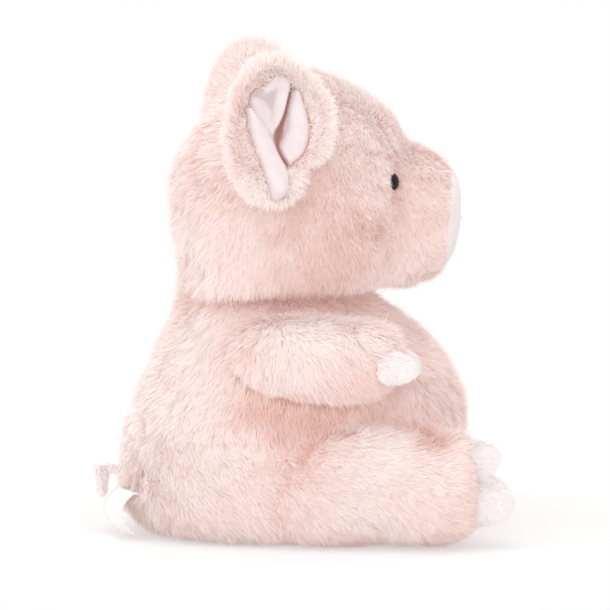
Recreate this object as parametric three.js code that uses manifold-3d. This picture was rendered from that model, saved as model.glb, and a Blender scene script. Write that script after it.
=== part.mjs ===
// A seated plush pig in long-pile fur fabric, taken apart as it is made: sewn skins, loose stuffing,
// a pellet bag in the seat, locked plastic eyes, lined ears, stuffed trotters, a curled tail and a label.
// Millimetres. +X is the way the pig faces, +Y is its left, +Z is up, and it sits on z = 0.

import * as THREE from "three";
import { mergeVertices } from "three/addons/utils/BufferGeometryUtils.js";
import Module from "manifold-3d";

const wasm = await Module();
wasm.setup();

const DEGREE = Math.PI / 180;

// Fabrics, and the gap between two pieces that touch
const fur_wall = 7; // backing and the pile that stands on it
const velour_wall = 2;
const seam_gap = 0.4;
const cut_overrun = 5; // how far a cutting solid reaches past what it cuts
const section_power = 2.2; // of the rounded sections, where 2 is an ellipse

// Torso. Each row is a height, a centre forwards, a half depth and a half width.
const torso_height = 122;
const torso_depth = 170;
const torso_width = 142;
const torso_shares = [
  [0, -0.067, 0.68, 0.7],
  [0.024, -0.067, 0.81, 0.84],
  [0.07, -0.07, 0.89, 0.92],
  [0.154, -0.067, 0.955, 0.975],
  [0.26, -0.054, 0.988, 1],
  [0.4, -0.031, 0.995, 0.985],
  [0.54, -0.013, 0.97, 0.94],
  [0.65, -0.013, 0.912, 0.88],
  [0.75, -0.024, 0.83, 0.81],
  [0.85, -0.043, 0.723, 0.74],
  [0.925, -0.072, 0.605, 0.67],
  [1, -0.099, 0.534, 0.61],
];

// Pellet bag in the seat
const bag_radius = 44;
const bag_height = 26;
const bag_squareness = 0.7; // below 1 the bag's edge grows fuller

// Head, in the same rows, from the neck seam up
const head_height = 108;
const head_depth = 118;
const head_width = 134;
const head_shares = [
  [0, -0.136, 0.745, 0.667],
  [0.074, -0.09, 0.856, 0.812],
  [0.149, -0.07, 0.92, 0.899],
  [0.251, -0.068, 0.975, 0.971],
  [0.363, -0.064, 1, 1],
  [0.474, -0.059, 1, 0.986],
  [0.586, -0.05, 0.972, 0.928],
  [0.67, -0.044, 0.898, 0.855],
  [0.777, -0.015, 0.788, 0.72],
  [0.847, -0.016, 0.627, 0.58],
  [0.916, -0.016, 0.44, 0.42],
  [0.958, -0.018, 0.3, 0.29],
  [0.986, -0.018, 0.16, 0.159],
  [1, -0.018, 0, 0],
];

// Snout: a fur tube out of the face that the nose pad closes
const snout_length = 24;
const snout_root = 16; // how far the tube runs back into the face
const snout_height = 72;
const snout_width = 74;
const snout_fall = 5 * DEGREE;
const snout_forward = 43; // the tube's start, ahead of the middle
const snout_rise = 36; // and above the neck seam
const snout_shares = [
  [0, 0, 1, 1],
  [0.35, 0, 0.98, 0.97],
  [0.65, 0, 0.92, 0.92],
  [0.87, 0, 0.84, 0.85],
  [1, 0, 0.74, 0.77],
];
const pad_bulge = 10;
const pad_shares = [
  [0, 0, 1, 1],
  [0.27, 0, 0.97, 0.97],
  [0.55, 0, 0.85, 0.85],
  [0.77, 0, 0.66, 0.66],
  [0.93, 0, 0.38, 0.38],
  [1, 0, 0, 0],
];

// Eyes: a dome on a barbed shank, held from inside the head by a toothed washer
const eye_radius = 5;
const eye_dome = 4;
const eye_sink = 4.5; // how far the eye's back sits below the tips of the pile
const eye_aside = 38; // from the mid-plane
const eye_rise = 54; // above the neck seam
const shank_radius = 1.6;
const barb_radius = 2.3;
const barb_length = 1.3;
const barb_count = 3;
const washer_radius = 7.5;
const washer_thickness = 1.2;
const washer_teeth = 8;
const washer_slot_radius = 4.4;
const washer_slot_share = 0.35; // of the turn between two teeth

// Ears: a cupped fur back with a velour lining in it
const ear_height = 65;
const ear_width = 51;
const ear_cup = 15;
const ear_cup_power = 2.7; // above 2 the cup's floor is flatter than a bowl's
const ear_crease = 2.5;
const ear_point_share = 0.16; // how much narrower the top is than the middle
const ear_fold_share = 0.25; // the crease's half width, of the ear's
const ear_back_wall = 9;
const ear_set_back = 21;
const ear_aside = 50;
const ear_rise = 78; // its middle, above the neck seam
const ear_lean_back = 10 * DEGREE;
const ear_lean_in = 10 * DEGREE;
const ear_face_forward = 14 * DEGREE;
const lining_width_share = 0.62; // of the ear's
const lining_height_share = 0.86;
const lining_drop_share = 0.1; // how far it sits below the ear's middle

// Arms, from the shoulder to the wrist
const arm_length = 83;
const arm_height = 44;
const arm_width = 38;
const arm_root_back = 43;
const arm_root_aside = 45;
const arm_root_rise = 96;
const arm_spread = 17 * DEGREE;
const arm_droop = 4 * DEGREE;
const arm_shares = [
  [0, 0, 0, 0],
  [0.03, 0, 0.36, 0.36],
  [0.1, 0, 0.66, 0.66],
  [0.2, 0, 0.88, 0.88],
  [0.36, 0, 1, 1],
  [0.6, 0, 0.97, 1],
  [0.8, 0, 0.88, 0.94],
  [0.92, 0, 0.7, 0.74],
  [0.98, 0, 0.42, 0.44],
  [1, 0, 0, 0],
];

// Legs, from the hip to the ankle
const leg_length = 114;
const leg_height = 60;
const leg_width = 58;
const leg_root_back = 34;
const leg_root_aside = 44;
const leg_root_rise = 29.5;
const leg_spread = 11 * DEGREE;
const leg_droop = 0.5 * DEGREE;
const leg_shares = [
  [0, 0, 0, 0],
  [0.03, 0, 0.42, 0.42],
  [0.09, 0, 0.72, 0.72],
  [0.2, 0, 0.94, 0.94],
  [0.34, 0, 1, 1],
  [0.47, 0, 0.98, 0.99],
  [0.6, 0, 0.9, 0.92],
  [0.72, 0, 0.91, 0.94],
  [0.84, 0, 0.92, 0.94],
  [0.93, 0, 0.78, 0.8],
  [0.98, 0, 0.5, 0.52],
  [1, 0, 0, 0],
];

// Trotters: two stuffed toes each, with a cleft between them
const toe_shares = [
  [0, 0, 0.8, 0.8],
  [0.3, 0, 1, 1],
  [0.6, 0, 0.96, 0.96],
  [0.82, 0, 0.74, 0.74],
  [0.95, 0, 0.4, 0.4],
  [1, 0, 0, 0],
];
const hand_toe_radius = 9.5;
const hand_toe_reach = 17; // past the wrist
const hand_toe_spread = 7.5; // from the trotter's middle to a toe's middle
const foot_upper_radius = 10;
const foot_upper_reach = 12;
const foot_upper_rise = 45;
const foot_lower_radius = 14;
const foot_lower_reach = 19;
const foot_lower_rise = 24;

// Tail: a cord of velour that comes straight out of the seat and curls once as it goes on
const tail_radius = 2.1;
const tail_curl_radius = 6;
const tail_curl_length = 5.4; // from the curl's start to its end, backwards
const tail_turns = 1.05;
const tail_rise = 32;
const tail_gap = 0.9; // behind the seat, for the wag
const tail_ease_power = 1.4; // above 1 the curl starts gently

// Label: a blank folded satin strip, sewn in below the tail
const label_width = 24;
const label_drop = 21;
const label_thickness = 0.8;
const label_rise = 24;
const label_root = 6; // how deep its top edge goes into the seam
const label_bow = 7;
const label_turn = 14 * DEGREE; // towards the pig's right side, round the middle of the seat

// Facets
const large_sides = 28;
const small_sides = 20;
const hidden_sides = 16;
const curl_steps = 10; // to a turn
const curl_sides = 8;

const X = new THREE.Vector3(1, 0, 0);
const Y = new THREE.Vector3(0, 1, 0);
const Z = new THREE.Vector3(0, 0, 1);

const fur = new THREE.MeshStandardMaterial({ color: 0xf0d4cc, roughness: 0.95, metalness: 0 });
const velour = new THREE.MeshStandardMaterial({ color: 0xf3e4e3, roughness: 0.9, metalness: 0 });
const trotter_plush = new THREE.MeshStandardMaterial({ color: 0xfbf4f2, roughness: 0.95, metalness: 0 });
const stuffing = new THREE.MeshStandardMaterial({ color: 0xffffff, roughness: 1, metalness: 0 });
const pellet_cloth = new THREE.MeshStandardMaterial({ color: 0xe9e4da, roughness: 0.95, metalness: 0 });
const eye_plastic = new THREE.MeshStandardMaterial({ color: 0x1c1614, roughness: 0.15, metalness: 0 });
const washer_plastic = new THREE.MeshStandardMaterial({ color: 0xf2f2ee, roughness: 0.5, metalness: 0 });
const satin = new THREE.MeshStandardMaterial({ color: 0xfdfcfb, roughness: 0.45, metalness: 0 });

// A closed three.js geometry as a solid that can be cut.
function solidOf(geometry) {
  const bare = geometry.clone();
  bare.deleteAttribute("normal");
  bare.deleteAttribute("uv");
  const merged = mergeVertices(bare, 1e-4);
  return new wasm.Manifold(
    new wasm.Mesh({
      numProp: 3,
      vertProperties: merged.attributes.position.array,
      triVerts: new Uint32Array(merged.index.array),
    }),
  );
}

// A solid as a three.js geometry.
function geometryOf(solid) {
  const mesh = solid.getMesh();
  const geometry = new THREE.BufferGeometry();
  geometry.setAttribute("position", new THREE.BufferAttribute(mesh.vertProperties, 3));
  geometry.setIndex(new THREE.BufferAttribute(mesh.triVerts, 1));
  geometry.computeVertexNormals();
  return geometry;
}

// The solid on the other side of the mid-plane.
function mirrored(solid) {
  const geometry = geometryOf(solid);
  geometry.scale(1, -1, 1);
  geometry.index.array.reverse();
  return solidOf(geometry);
}

// A solid and its mirror image together, as a cut through both sides of the head.
const bothSides = (solid) => solid.add(mirrored(solid));

// A closed skin over rings of points, each ring anticlockwise as seen from the last one.
function skinOver(rings) {
  const sides = rings[0].length;
  const middle = (ring) => ring.reduce((sum, p) => sum.add(p), new THREE.Vector3()).divideScalar(sides);
  const points = [...rings.flat(), middle(rings[0]), middle(rings.at(-1))];
  const first = points.length - 2;
  const last = points.length - 1;
  const top = (rings.length - 1) * sides;
  const index = [];
  for (let j = 0; j < sides; j++) {
    const k = (j + 1) % sides;
    index.push(first, k, j);
    for (let a = 0; a < top; a += sides) {
      const b = a + sides;
      index.push(a + j, a + k, b + k, a + j, b + k, b + j);
    }
    index.push(last, top + j, top + k);
  }
  const geometry = new THREE.BufferGeometry().setFromPoints(points);
  geometry.setIndex(index);
  return geometry;
}

// A stuffed form: rounded sections square to a line from start, along ahead, with up for their height.
function stuffedForm({ start, ahead, up, length, height, width, shares }) {
  const side = new THREE.Vector3().crossVectors(ahead, up);
  const rows = shares.map(([along, shift, tall, wide]) => ({
    along: along * length,
    shift: shift * height,
    tall: (tall * height) / 2,
    wide: (wide * width) / 2,
  }));
  return { start, ahead, up, side, rows };
}

// The form's rows moved out square to its profile, or in for a distance below zero.
function offsetRows(rows, distance) {
  return rows.map((row, i) => {
    const before = rows[Math.max(0, i - 1)];
    const after = rows[Math.min(rows.length - 1, i + 1)];
    const run = after.along - before.along;
    const swell = (after.tall + after.wide - before.tall - before.wide) / 2;
    const pole = row.tall === 0;
    const out = pole ? 0 : run / Math.hypot(run, swell);
    const back = pole ? Math.sign(swell) : swell / Math.hypot(run, swell);
    return {
      along: row.along - distance * back,
      shift: row.shift,
      tall: Math.max(0, row.tall + distance * out),
      wide: Math.max(0, row.wide + distance * out),
    };
  });
}

// The solid of a stuffed form, swollen by distance, with its open ends drawn out where asked.
function formSolid(form, { distance = 0, sides = large_sides, extend_start = 0, extend_end = 0 } = {}) {
  const rows = offsetRows(form.rows, distance);
  if (extend_start) rows.unshift({ ...rows[0], along: rows[0].along - extend_start });
  if (extend_end) rows.push({ ...rows.at(-1), along: rows.at(-1).along + extend_end });
  const round = (value) => Math.sign(value) * Math.abs(value) ** (2 / section_power);
  const rings = rows.map((row) =>
    Array.from({ length: sides }, (_, j) => {
      const turn = (2 * Math.PI * j) / sides;
      return form.start
        .clone()
        .addScaledVector(form.ahead, row.along)
        .addScaledVector(form.up, row.shift + row.tall * round(Math.cos(turn)))
        .addScaledVector(form.side, row.wide * round(Math.sin(turn)));
    }),
  );
  return solidOf(skinOver(rings));
}

// A block between two corners, for cutting.
function block(low, high) {
  const size = new THREE.Vector3().subVectors(high, low);
  const box = new THREE.BoxGeometry(...size.toArray());
  box.translate(...low.clone().addScaledVector(size, 0.5).toArray());
  return solidOf(box);
}

// A lathe round a line from place along axis. The profile's points are a radius and a distance.
function turned(profile, place, axis, sides = hidden_sides) {
  const lathe = new THREE.LatheGeometry(
    profile.map(([radius, along]) => new THREE.Vector2(radius, along)),
    sides,
  );
  lathe.applyQuaternion(new THREE.Quaternion().setFromUnitVectors(Y, axis));
  lathe.translate(...place.toArray());
  return solidOf(lathe);
}

// A round bar on such a line, between two distances.
const bar = (radius, from, to, place, axis) =>
  turned([[0, from], [radius, from], [radius, to], [0, to]], place, axis);

const pig = new THREE.Group();

// One piece of the pig.
function piece(name, solid, material) {
  const mesh = new THREE.Mesh(geometryOf(solid), material);
  mesh.name = name;
  pig.add(mesh);
}

// A left piece and its mirror image on the right.
function pair(name, solid, material) {
  piece(`${name}_left`, solid, material);
  piece(`${name}_right`, mirrored(solid), material);
}

// Everything below the floor, and everything above and below the neck seam
const reach = torso_depth + leg_length;
const neck = new THREE.Vector3(0, 0, torso_height + seam_gap);
const under_floor = block(new THREE.Vector3(-reach, -reach, -reach), new THREE.Vector3(reach, reach, 0));
const above_torso = block(new THREE.Vector3(-reach, -reach, torso_height), new THREE.Vector3(reach, reach, reach));
const below_head = block(new THREE.Vector3(-reach, -reach, -reach), new THREE.Vector3(reach, reach, neck.z));

// Torso: a skin that is open at the neck, its stuffing, and the bag of pellets that keeps it sitting
const torso = stuffedForm({
  start: new THREE.Vector3(),
  ahead: Z,
  up: X,
  length: torso_height,
  height: torso_depth,
  width: torso_width,
  shares: torso_shares,
});
const torso_clear = formSolid(torso, { distance: seam_gap, extend_end: cut_overrun });
const torso_inside = formSolid(torso, { distance: -fur_wall, sides: hidden_sides, extend_end: cut_overrun });
const torso_stuffed = formSolid(torso, {
  distance: -fur_wall - seam_gap,
  sides: hidden_sides,
  extend_end: cut_overrun,
});
piece("torso_skin", formSolid(torso).subtract(torso_inside), fur);

const bag_place = new THREE.Vector3(torso_shares[0][1] * torso_depth, 0, fur_wall + seam_gap);
function pelletBag(clearance) {
  const steps = 8;
  const profile = Array.from({ length: steps + 1 }, (_, i) => {
    const turn = Math.PI * (i / steps);
    const inner = i > 0 && i < steps;
    return [
      inner ? (bag_radius + clearance) * Math.sin(turn) ** bag_squareness : 0,
      bag_height / 2 - (bag_height / 2 + clearance) * Math.cos(turn),
    ];
  });
  return turned(profile, bag_place, Z, small_sides);
}
const bag_pocket = pelletBag(seam_gap).add(bar(bag_radius / 2, -cut_overrun, bag_height / 2, bag_place, Z));
piece("pellet_bag", pelletBag(0), pellet_cloth);
piece("torso_fill", torso_stuffed.subtract(bag_pocket).subtract(above_torso), stuffing);

// Head and snout: two skins that open into each other, round one stuffing
const head = stuffedForm({
  start: neck,
  ahead: Z,
  up: X,
  length: head_height,
  height: head_depth,
  width: head_width,
  shares: head_shares,
});
const head_clear = formSolid(head, { distance: seam_gap, extend_start: cut_overrun });
const head_inside = formSolid(head, { distance: -fur_wall, sides: hidden_sides, extend_start: cut_overrun });
const head_stuffed = formSolid(head, {
  distance: -fur_wall - seam_gap,
  sides: hidden_sides,
  extend_start: cut_overrun,
});

const snout_ahead = new THREE.Vector3(Math.cos(snout_fall), 0, -Math.sin(snout_fall));
const snout_up = new THREE.Vector3(Math.sin(snout_fall), 0, Math.cos(snout_fall));
const snout_start = neck.clone().addScaledVector(X, snout_forward).addScaledVector(Z, snout_rise);
const snout = stuffedForm({
  start: snout_start,
  ahead: snout_ahead,
  up: snout_up,
  length: snout_length,
  height: snout_height,
  width: snout_width,
  shares: snout_shares,
});
const snout_tube = formSolid(snout, { sides: small_sides, extend_start: snout_root });
const snout_bore = formSolid(snout, {
  distance: -fur_wall,
  sides: hidden_sides,
  extend_start: snout_root + cut_overrun,
  extend_end: fur_wall + cut_overrun,
});
const snout_stuffed = formSolid(snout, {
  distance: -fur_wall - seam_gap,
  sides: hidden_sides,
  extend_start: snout_root,
  extend_end: fur_wall + velour_wall,
});
piece("snout_skin", snout_tube.subtract(snout_bore).subtract(head_clear).subtract(below_head), fur);

const [, , pad_height_share, pad_width_share] = snout_shares.at(-1);
const pad = stuffedForm({
  start: snout_start.clone().addScaledVector(snout_ahead, snout_length + seam_gap),
  ahead: snout_ahead,
  up: snout_up,
  length: pad_bulge,
  height: pad_height_share * snout_height,
  width: pad_width_share * snout_width,
  shares: pad_shares,
});
const pad_inside = formSolid(pad, { distance: -velour_wall, sides: hidden_sides, extend_start: cut_overrun });
const behind_pad = bar(snout_height, -cut_overrun, 0, pad.start, snout_ahead);
const pad_stuffed = formSolid(pad, { distance: -velour_wall - seam_gap, sides: hidden_sides }).subtract(behind_pad);
piece("nose_pad", formSolid(pad, { sides: small_sides }).subtract(pad_inside), velour);

// Eyes, square to the face where they sit
function headRowAt(rise) {
  const above = head.rows.findIndex((row) => row.along >= rise);
  const [low, high] = [head.rows[above - 1], head.rows[above]];
  const part = (rise - low.along) / (high.along - low.along);
  const between = (key) => THREE.MathUtils.lerp(low[key], high[key], part);
  return { shift: between("shift"), tall: between("tall"), wide: between("wide") };
}
const eye_row = headRowAt(eye_rise);
const eye_across = eye_aside / eye_row.wide;
const eye_ahead = (1 - eye_across ** section_power) ** (1 / section_power);
const eye_out = new THREE.Vector3(
  eye_ahead ** (section_power - 1) / eye_row.tall,
  eye_across ** (section_power - 1) / eye_row.wide,
  0,
).normalize();
const eye_place = new THREE.Vector3(eye_row.shift + eye_ahead * eye_row.tall, eye_aside, neck.z + eye_rise);
eye_place.addScaledVector(eye_out, -eye_sink);

// Along the eye's axis, inwards from its back: the fabric, the washer and the barbs behind it
const washer_front = -(fur_wall - eye_sink) - seam_gap;
const washer_back = washer_front - washer_thickness;
const barb_pitch = barb_length + washer_thickness + 2 * seam_gap;

function eyeWithShank() {
  const profile = [];
  for (let i = 0; i < barb_count; i++) {
    const catching = washer_back - seam_gap - i * barb_pitch;
    profile.unshift([shank_radius, catching - barb_length], [barb_radius, catching], [shank_radius, catching]);
  }
  profile.unshift([0, profile[0][1]]);
  profile.push([shank_radius, 0], [eye_radius, 0]);
  const steps = 5;
  for (let i = 1; i < steps; i++) {
    const turn = (Math.PI / 2) * (i / steps);
    profile.push([eye_radius * Math.cos(turn), eye_dome * Math.sin(turn)]);
  }
  profile.push([0, eye_dome]);
  return turned(profile, eye_place, eye_out);
}

// The washer's hole has teeth that reach in round the shank, with slots between them to let them bend.
function lockWasher() {
  const outline = new THREE.Shape().absarc(0, 0, washer_radius, 0, 2 * Math.PI, false);
  const hole = new THREE.Path();
  const bite = shank_radius + seam_gap / 2;
  for (let i = 0; i < washer_teeth; i++) {
    const corners = [
      [bite, 0],
      [bite, 1 - washer_slot_share],
      [washer_slot_radius, 1 - washer_slot_share],
      [washer_slot_radius, 1],
    ];
    for (const [radius, part] of corners) {
      const turn = (-2 * Math.PI * (i + part)) / washer_teeth;
      const [x, y] = [radius * Math.cos(turn), radius * Math.sin(turn)];
      if (i === 0 && part === 0) hole.moveTo(x, y);
      else hole.lineTo(x, y);
    }
  }
  hole.closePath();
  outline.holes.push(hole);
  const plate = new THREE.ExtrudeGeometry(outline, {
    depth: washer_thickness,
    bevelEnabled: false,
    curveSegments: hidden_sides / 2,
  });
  plate.translate(0, 0, washer_back);
  plate.applyQuaternion(new THREE.Quaternion().setFromUnitVectors(Z, eye_out));
  plate.translate(...eye_place.toArray());
  return solidOf(plate);
}

const shank_end = washer_back - barb_count * barb_pitch;
const eye_socket = bar(eye_radius + seam_gap, -seam_gap, eye_sink + cut_overrun, eye_place, eye_out);
const shank_hole = bar(barb_radius + seam_gap, shank_end, eye_sink, eye_place, eye_out);
const washer_room = bar(
  washer_radius + seam_gap,
  washer_back - seam_gap,
  washer_front + seam_gap,
  eye_place,
  eye_out,
);
pair("eye", eyeWithShank(), eye_plastic);
pair("eye_washer", lockWasher(), washer_plastic);

const head_cuts = bothSides(eye_socket.add(shank_hole).add(washer_room));
const head_skin = formSolid(head).subtract(head_inside).subtract(snout_bore).subtract(head_cuts);
piece("head_skin", head_skin, fur);
const stuffing_cuts = below_head.add(bothSides(shank_hole.add(washer_room)));
piece("head_fill", head_stuffed.add(snout_stuffed).add(pad_stuffed).subtract(stuffing_cuts), stuffing);

// The middle of the ear's sheet, for shares of its half width and half height, with z out of the cup.
function earSheet(across, up) {
  const reach_share = Math.min(1, across * across + up * up);
  const crease = Math.exp(-((across / ear_fold_share) ** 2)) * (1 - reach_share);
  return new THREE.Vector3(
    (ear_width / 2) * across * (1 - ear_point_share * up),
    (ear_height / 2) * up,
    ear_cup * reach_share ** (ear_cup_power / 2) - ear_crease * crease,
  );
}

// A cupped sheet with a rounded rim, from the middle of its back, over the rim, to the middle inside.
function cuppedSheet({ width_share, height_share, drop_share, wall, lift, ring_count, sides }) {
  const level = (share, rise) =>
    Array.from({ length: sides }, (_, j) => {
      const turn = (2 * Math.PI * j) / sides;
      const across = share * width_share * Math.cos(turn);
      const up = share * height_share * Math.sin(turn) - drop_share;
      return earSheet(across, up).addScaledVector(Z, lift + rise);
    });
  const middle_share = 0.05;
  const rim_share = 1 + wall / ear_width;
  const shares = Array.from(
    { length: ring_count },
    (_, i) => middle_share + ((1 - middle_share) * i) / (ring_count - 1),
  );
  const rings = shares.map((share) => level(share, 0));
  rings.push(level(rim_share, wall / 2));
  rings.push(...shares.reverse().map((share) => level(share, wall)));
  const sheet = skinOver(rings);
  const stand = new THREE.Matrix4().makeBasis(X.clone().negate(), Z, Y);
  const lean = new THREE.Matrix4()
    .makeRotationZ(-ear_face_forward)
    .multiply(new THREE.Matrix4().makeRotationX(ear_lean_in))
    .multiply(new THREE.Matrix4().makeRotationY(-ear_lean_back));
  sheet.applyMatrix4(lean.multiply(stand));
  sheet.translate(-ear_set_back, ear_aside, neck.z + ear_rise);
  return solidOf(sheet);
}

const ear_back = cuppedSheet({
  width_share: 1,
  height_share: 1,
  drop_share: 0,
  wall: ear_back_wall,
  lift: 0,
  ring_count: 6,
  sides: small_sides,
});
const ear_lining = cuppedSheet({
  width_share: lining_width_share,
  height_share: lining_height_share,
  drop_share: lining_drop_share,
  wall: velour_wall,
  lift: ear_back_wall + 2 * seam_gap,
  ring_count: 5,
  sides: hidden_sides,
});
pair("ear_back", ear_back.subtract(head_clear), fur);
pair("ear_lining", ear_lining.subtract(head_clear), velour);

// A limb's form from its root in the torso, spread outwards and drooping
function limbForm({ back, aside, rise, spread, droop, ...sizes }) {
  const level = new THREE.Vector3(Math.cos(spread), Math.sin(spread), 0);
  const ahead = level.clone().multiplyScalar(Math.cos(droop)).addScaledVector(Z, -Math.sin(droop));
  const up = level.clone().multiplyScalar(Math.sin(droop)).addScaledVector(Z, Math.cos(droop));
  return stuffedForm({ start: new THREE.Vector3(-back, aside, rise), ahead, up, ...sizes });
}

// A limb's skin, which opens into the torso, and its stuffing
const around_limbs = torso_clear.add(above_torso).add(under_floor);
function limb(name, form) {
  const outside = formSolid(form, { sides: small_sides });
  const inside = formSolid(form, { distance: -fur_wall, sides: hidden_sides });
  const stuffed = formSolid(form, { distance: -fur_wall - seam_gap, sides: hidden_sides });
  pair(`${name}_skin`, outside.subtract(inside).subtract(around_limbs), fur);
  pair(`${name}_fill`, stuffed.subtract(around_limbs), stuffing);
}

// Two toes side by side on a limb's end, cut to sit on its skin and clear of the torso
function trotter(name, form, length, toes) {
  const tip = form.start.clone().addScaledVector(form.ahead, length);
  const [one, other] = toes.map(({ offset, radius, past_tip }) =>
    formSolid(
      stuffedForm({
        start: tip.clone().add(offset).addScaledVector(form.ahead, -radius),
        ahead: form.ahead,
        up: form.up,
        length: radius + past_tip,
        height: 2 * radius,
        width: 2 * radius,
        shares: toe_shares,
      }),
      { sides: hidden_sides },
    ),
  );
  const seat = formSolid(form, { distance: seam_gap, sides: small_sides });
  pair(name, one.add(other).subtract(seat).subtract(around_limbs), trotter_plush);
}

const arm = limbForm({
  back: arm_root_back,
  aside: arm_root_aside,
  rise: arm_root_rise,
  spread: arm_spread,
  droop: arm_droop,
  length: arm_length,
  height: arm_height,
  width: arm_width,
  shares: arm_shares,
});
limb("arm", arm);
trotter(
  "hand_trotter",
  arm,
  arm_length,
  [hand_toe_spread, -hand_toe_spread].map((spread) => ({
    offset: arm.side.clone().multiplyScalar(spread),
    radius: hand_toe_radius,
    past_tip: hand_toe_reach,
  })),
);

const leg = limbForm({
  back: leg_root_back,
  aside: leg_root_aside,
  rise: leg_root_rise,
  spread: leg_spread,
  droop: leg_droop,
  length: leg_length,
  height: leg_height,
  width: leg_width,
  shares: leg_shares,
});
limb("leg", leg);
trotter("foot_trotter", leg, leg_length, [
  {
    offset: Z.clone().multiplyScalar(foot_upper_rise - leg_root_rise),
    radius: foot_upper_radius,
    past_tip: foot_upper_reach,
  },
  {
    offset: Z.clone().multiplyScalar(foot_lower_rise - leg_root_rise),
    radius: foot_lower_radius,
    past_tip: foot_lower_reach,
  },
]);

// How far back the torso reaches at a height
function torsoBackAt(rise) {
  const above = torso.rows.findIndex((row) => row.along >= rise);
  const [low, high] = [torso.rows[above - 1], torso.rows[above]];
  const part = (rise - low.along) / (high.along - low.along);
  return THREE.MathUtils.lerp(low.shift - low.tall, high.shift - high.tall, part);
}

// The tail's line: straight out of the seat for one cord's width, then round below itself
class TailLine extends THREE.Curve {
  getPoint(share) {
    const neck_length = 2 * tail_radius;
    const along = share * (neck_length + tail_curl_length);
    const curled = Math.max(0, along - neck_length) / tail_curl_length;
    const turn = 2 * Math.PI * tail_turns * curled ** tail_ease_power;
    return new THREE.Vector3(
      -along,
      tail_curl_radius * Math.sin(turn),
      tail_curl_radius * (Math.cos(turn) - 1),
    );
  }
}
const tail_line = new TailLine();

// The least gap between two stretches of the cord that lie three of its widths or more apart along it
function tailGap() {
  const points = tail_line.getSpacedPoints(curl_steps * curl_steps);
  const spacing = tail_line.getLength() / (points.length - 1);
  const apart = Math.ceil((3 * 2 * tail_radius) / spacing);
  let least = Infinity;
  points.forEach((point, i) => {
    for (const other of points.slice(i + apart)) least = Math.min(least, point.distanceTo(other));
  });
  return least - 2 * tail_radius;
}
console.log(`the tail's cord stays ${tailGap().toFixed(2)} mm clear of itself`);

const tail_section = new THREE.Shape().absarc(0, 0, tail_radius, 0, 2 * Math.PI, false);
const tail_cord = new THREE.ExtrudeGeometry(tail_section, {
  steps: Math.ceil(curl_steps * (tail_turns + 1)),
  curveSegments: curl_sides / 2,
  extrudePath: tail_line,
});
const tail_place = new THREE.Vector3(torsoBackAt(tail_rise) - tail_gap, 0, tail_rise);
tail_cord.translate(...tail_place.toArray());
piece("tail", solidOf(tail_cord), velour);

// Label: a strip that bows out as it hangs, with its top edge in the seam
const label_outline = new THREE.Shape();
label_outline.moveTo(label_root, 0);
label_outline.lineTo(0, 0);
label_outline.quadraticCurveTo(-2 * label_bow, -label_drop / 2, 0, -label_drop);
label_outline.lineTo(label_thickness, -label_drop);
label_outline.quadraticCurveTo(label_thickness - 2 * label_bow, -label_drop / 2, label_thickness, -label_thickness);
label_outline.lineTo(label_root, -label_thickness);
label_outline.closePath();
const label_strip = new THREE.ExtrudeGeometry(label_outline, {
  depth: label_width,
  bevelEnabled: false,
  curveSegments: curl_sides,
});
label_strip.rotateX(Math.PI / 2);
label_strip.translate(torsoBackAt(label_rise) - label_thickness - seam_gap, label_width / 2, label_rise);
label_strip.rotateZ(label_turn);
piece("seam_label", solidOf(label_strip).subtract(torso_clear), satin);

// The origin lies on the floor, under the middle of the pig's length.
const size = new THREE.Box3().setFromObject(pig);
pig.position.x = -(size.min.x + size.max.x) / 2;

export default pig;
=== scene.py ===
"""Looks of a seated plush pig: long pale pink fur over sewn and stuffed forms.

Metres throughout. The frame's +X is the way the pig faces, +Y is its left and +Z is up. A piece that
replaces a CAD node is shaped from a copy of that node, so the sizes stay the CAD's own.
"""

from __future__ import annotations

import logging
import math
from dataclasses import dataclass, field, replace
from enum import Enum
from functools import cache
from typing import Any, Callable

import bmesh
import bpy
import numpy as np
from mathutils import Matrix, Vector
from mathutils.bvhtree import BVHTree


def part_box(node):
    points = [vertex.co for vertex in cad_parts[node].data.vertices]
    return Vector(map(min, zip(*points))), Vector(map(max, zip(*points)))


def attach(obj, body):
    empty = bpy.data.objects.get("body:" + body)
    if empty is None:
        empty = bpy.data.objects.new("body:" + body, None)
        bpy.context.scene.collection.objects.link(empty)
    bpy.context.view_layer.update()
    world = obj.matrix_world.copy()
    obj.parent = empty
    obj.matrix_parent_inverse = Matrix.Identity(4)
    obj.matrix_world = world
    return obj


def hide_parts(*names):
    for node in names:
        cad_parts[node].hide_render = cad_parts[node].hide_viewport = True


MM = 0.001
BLADE_MAP = "OFBake"  # the strands' own map of tone and height
FOLD_SHADE = "fold"  # how much painted shade a corner has, deep in a fold, 0 to 1
MOST_STRANDS = 97_000  # in one piece, at two triangles each
STRAND_FLOOR = 0.15 * MM  # no strand reaches below it
FORM_FLOOR = 0.2 * MM  # nor any backing below this
WHITE = (1, 1, 1, 1)

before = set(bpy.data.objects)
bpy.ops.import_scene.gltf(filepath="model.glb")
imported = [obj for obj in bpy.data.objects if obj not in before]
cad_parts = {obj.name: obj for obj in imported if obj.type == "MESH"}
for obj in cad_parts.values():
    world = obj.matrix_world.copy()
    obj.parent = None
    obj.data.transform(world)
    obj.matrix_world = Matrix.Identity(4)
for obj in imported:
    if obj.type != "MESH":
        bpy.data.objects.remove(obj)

log = logging.getLogger("plush_pig")

Array = np.ndarray
Colour = tuple[float, float, float]
Flow = Callable[[Array, Array], Array]
Tone = Callable[[Array, Array], Array]
Bare = Callable[[Vector], bool]


class Side(Enum):
    """The two sides of the pig, by the sign of Y."""

    LEFT = 1
    RIGHT = -1

    @property
    def word(self) -> str:
        """The side's word in the names of nodes and pieces."""
        return self.name.lower()


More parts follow.
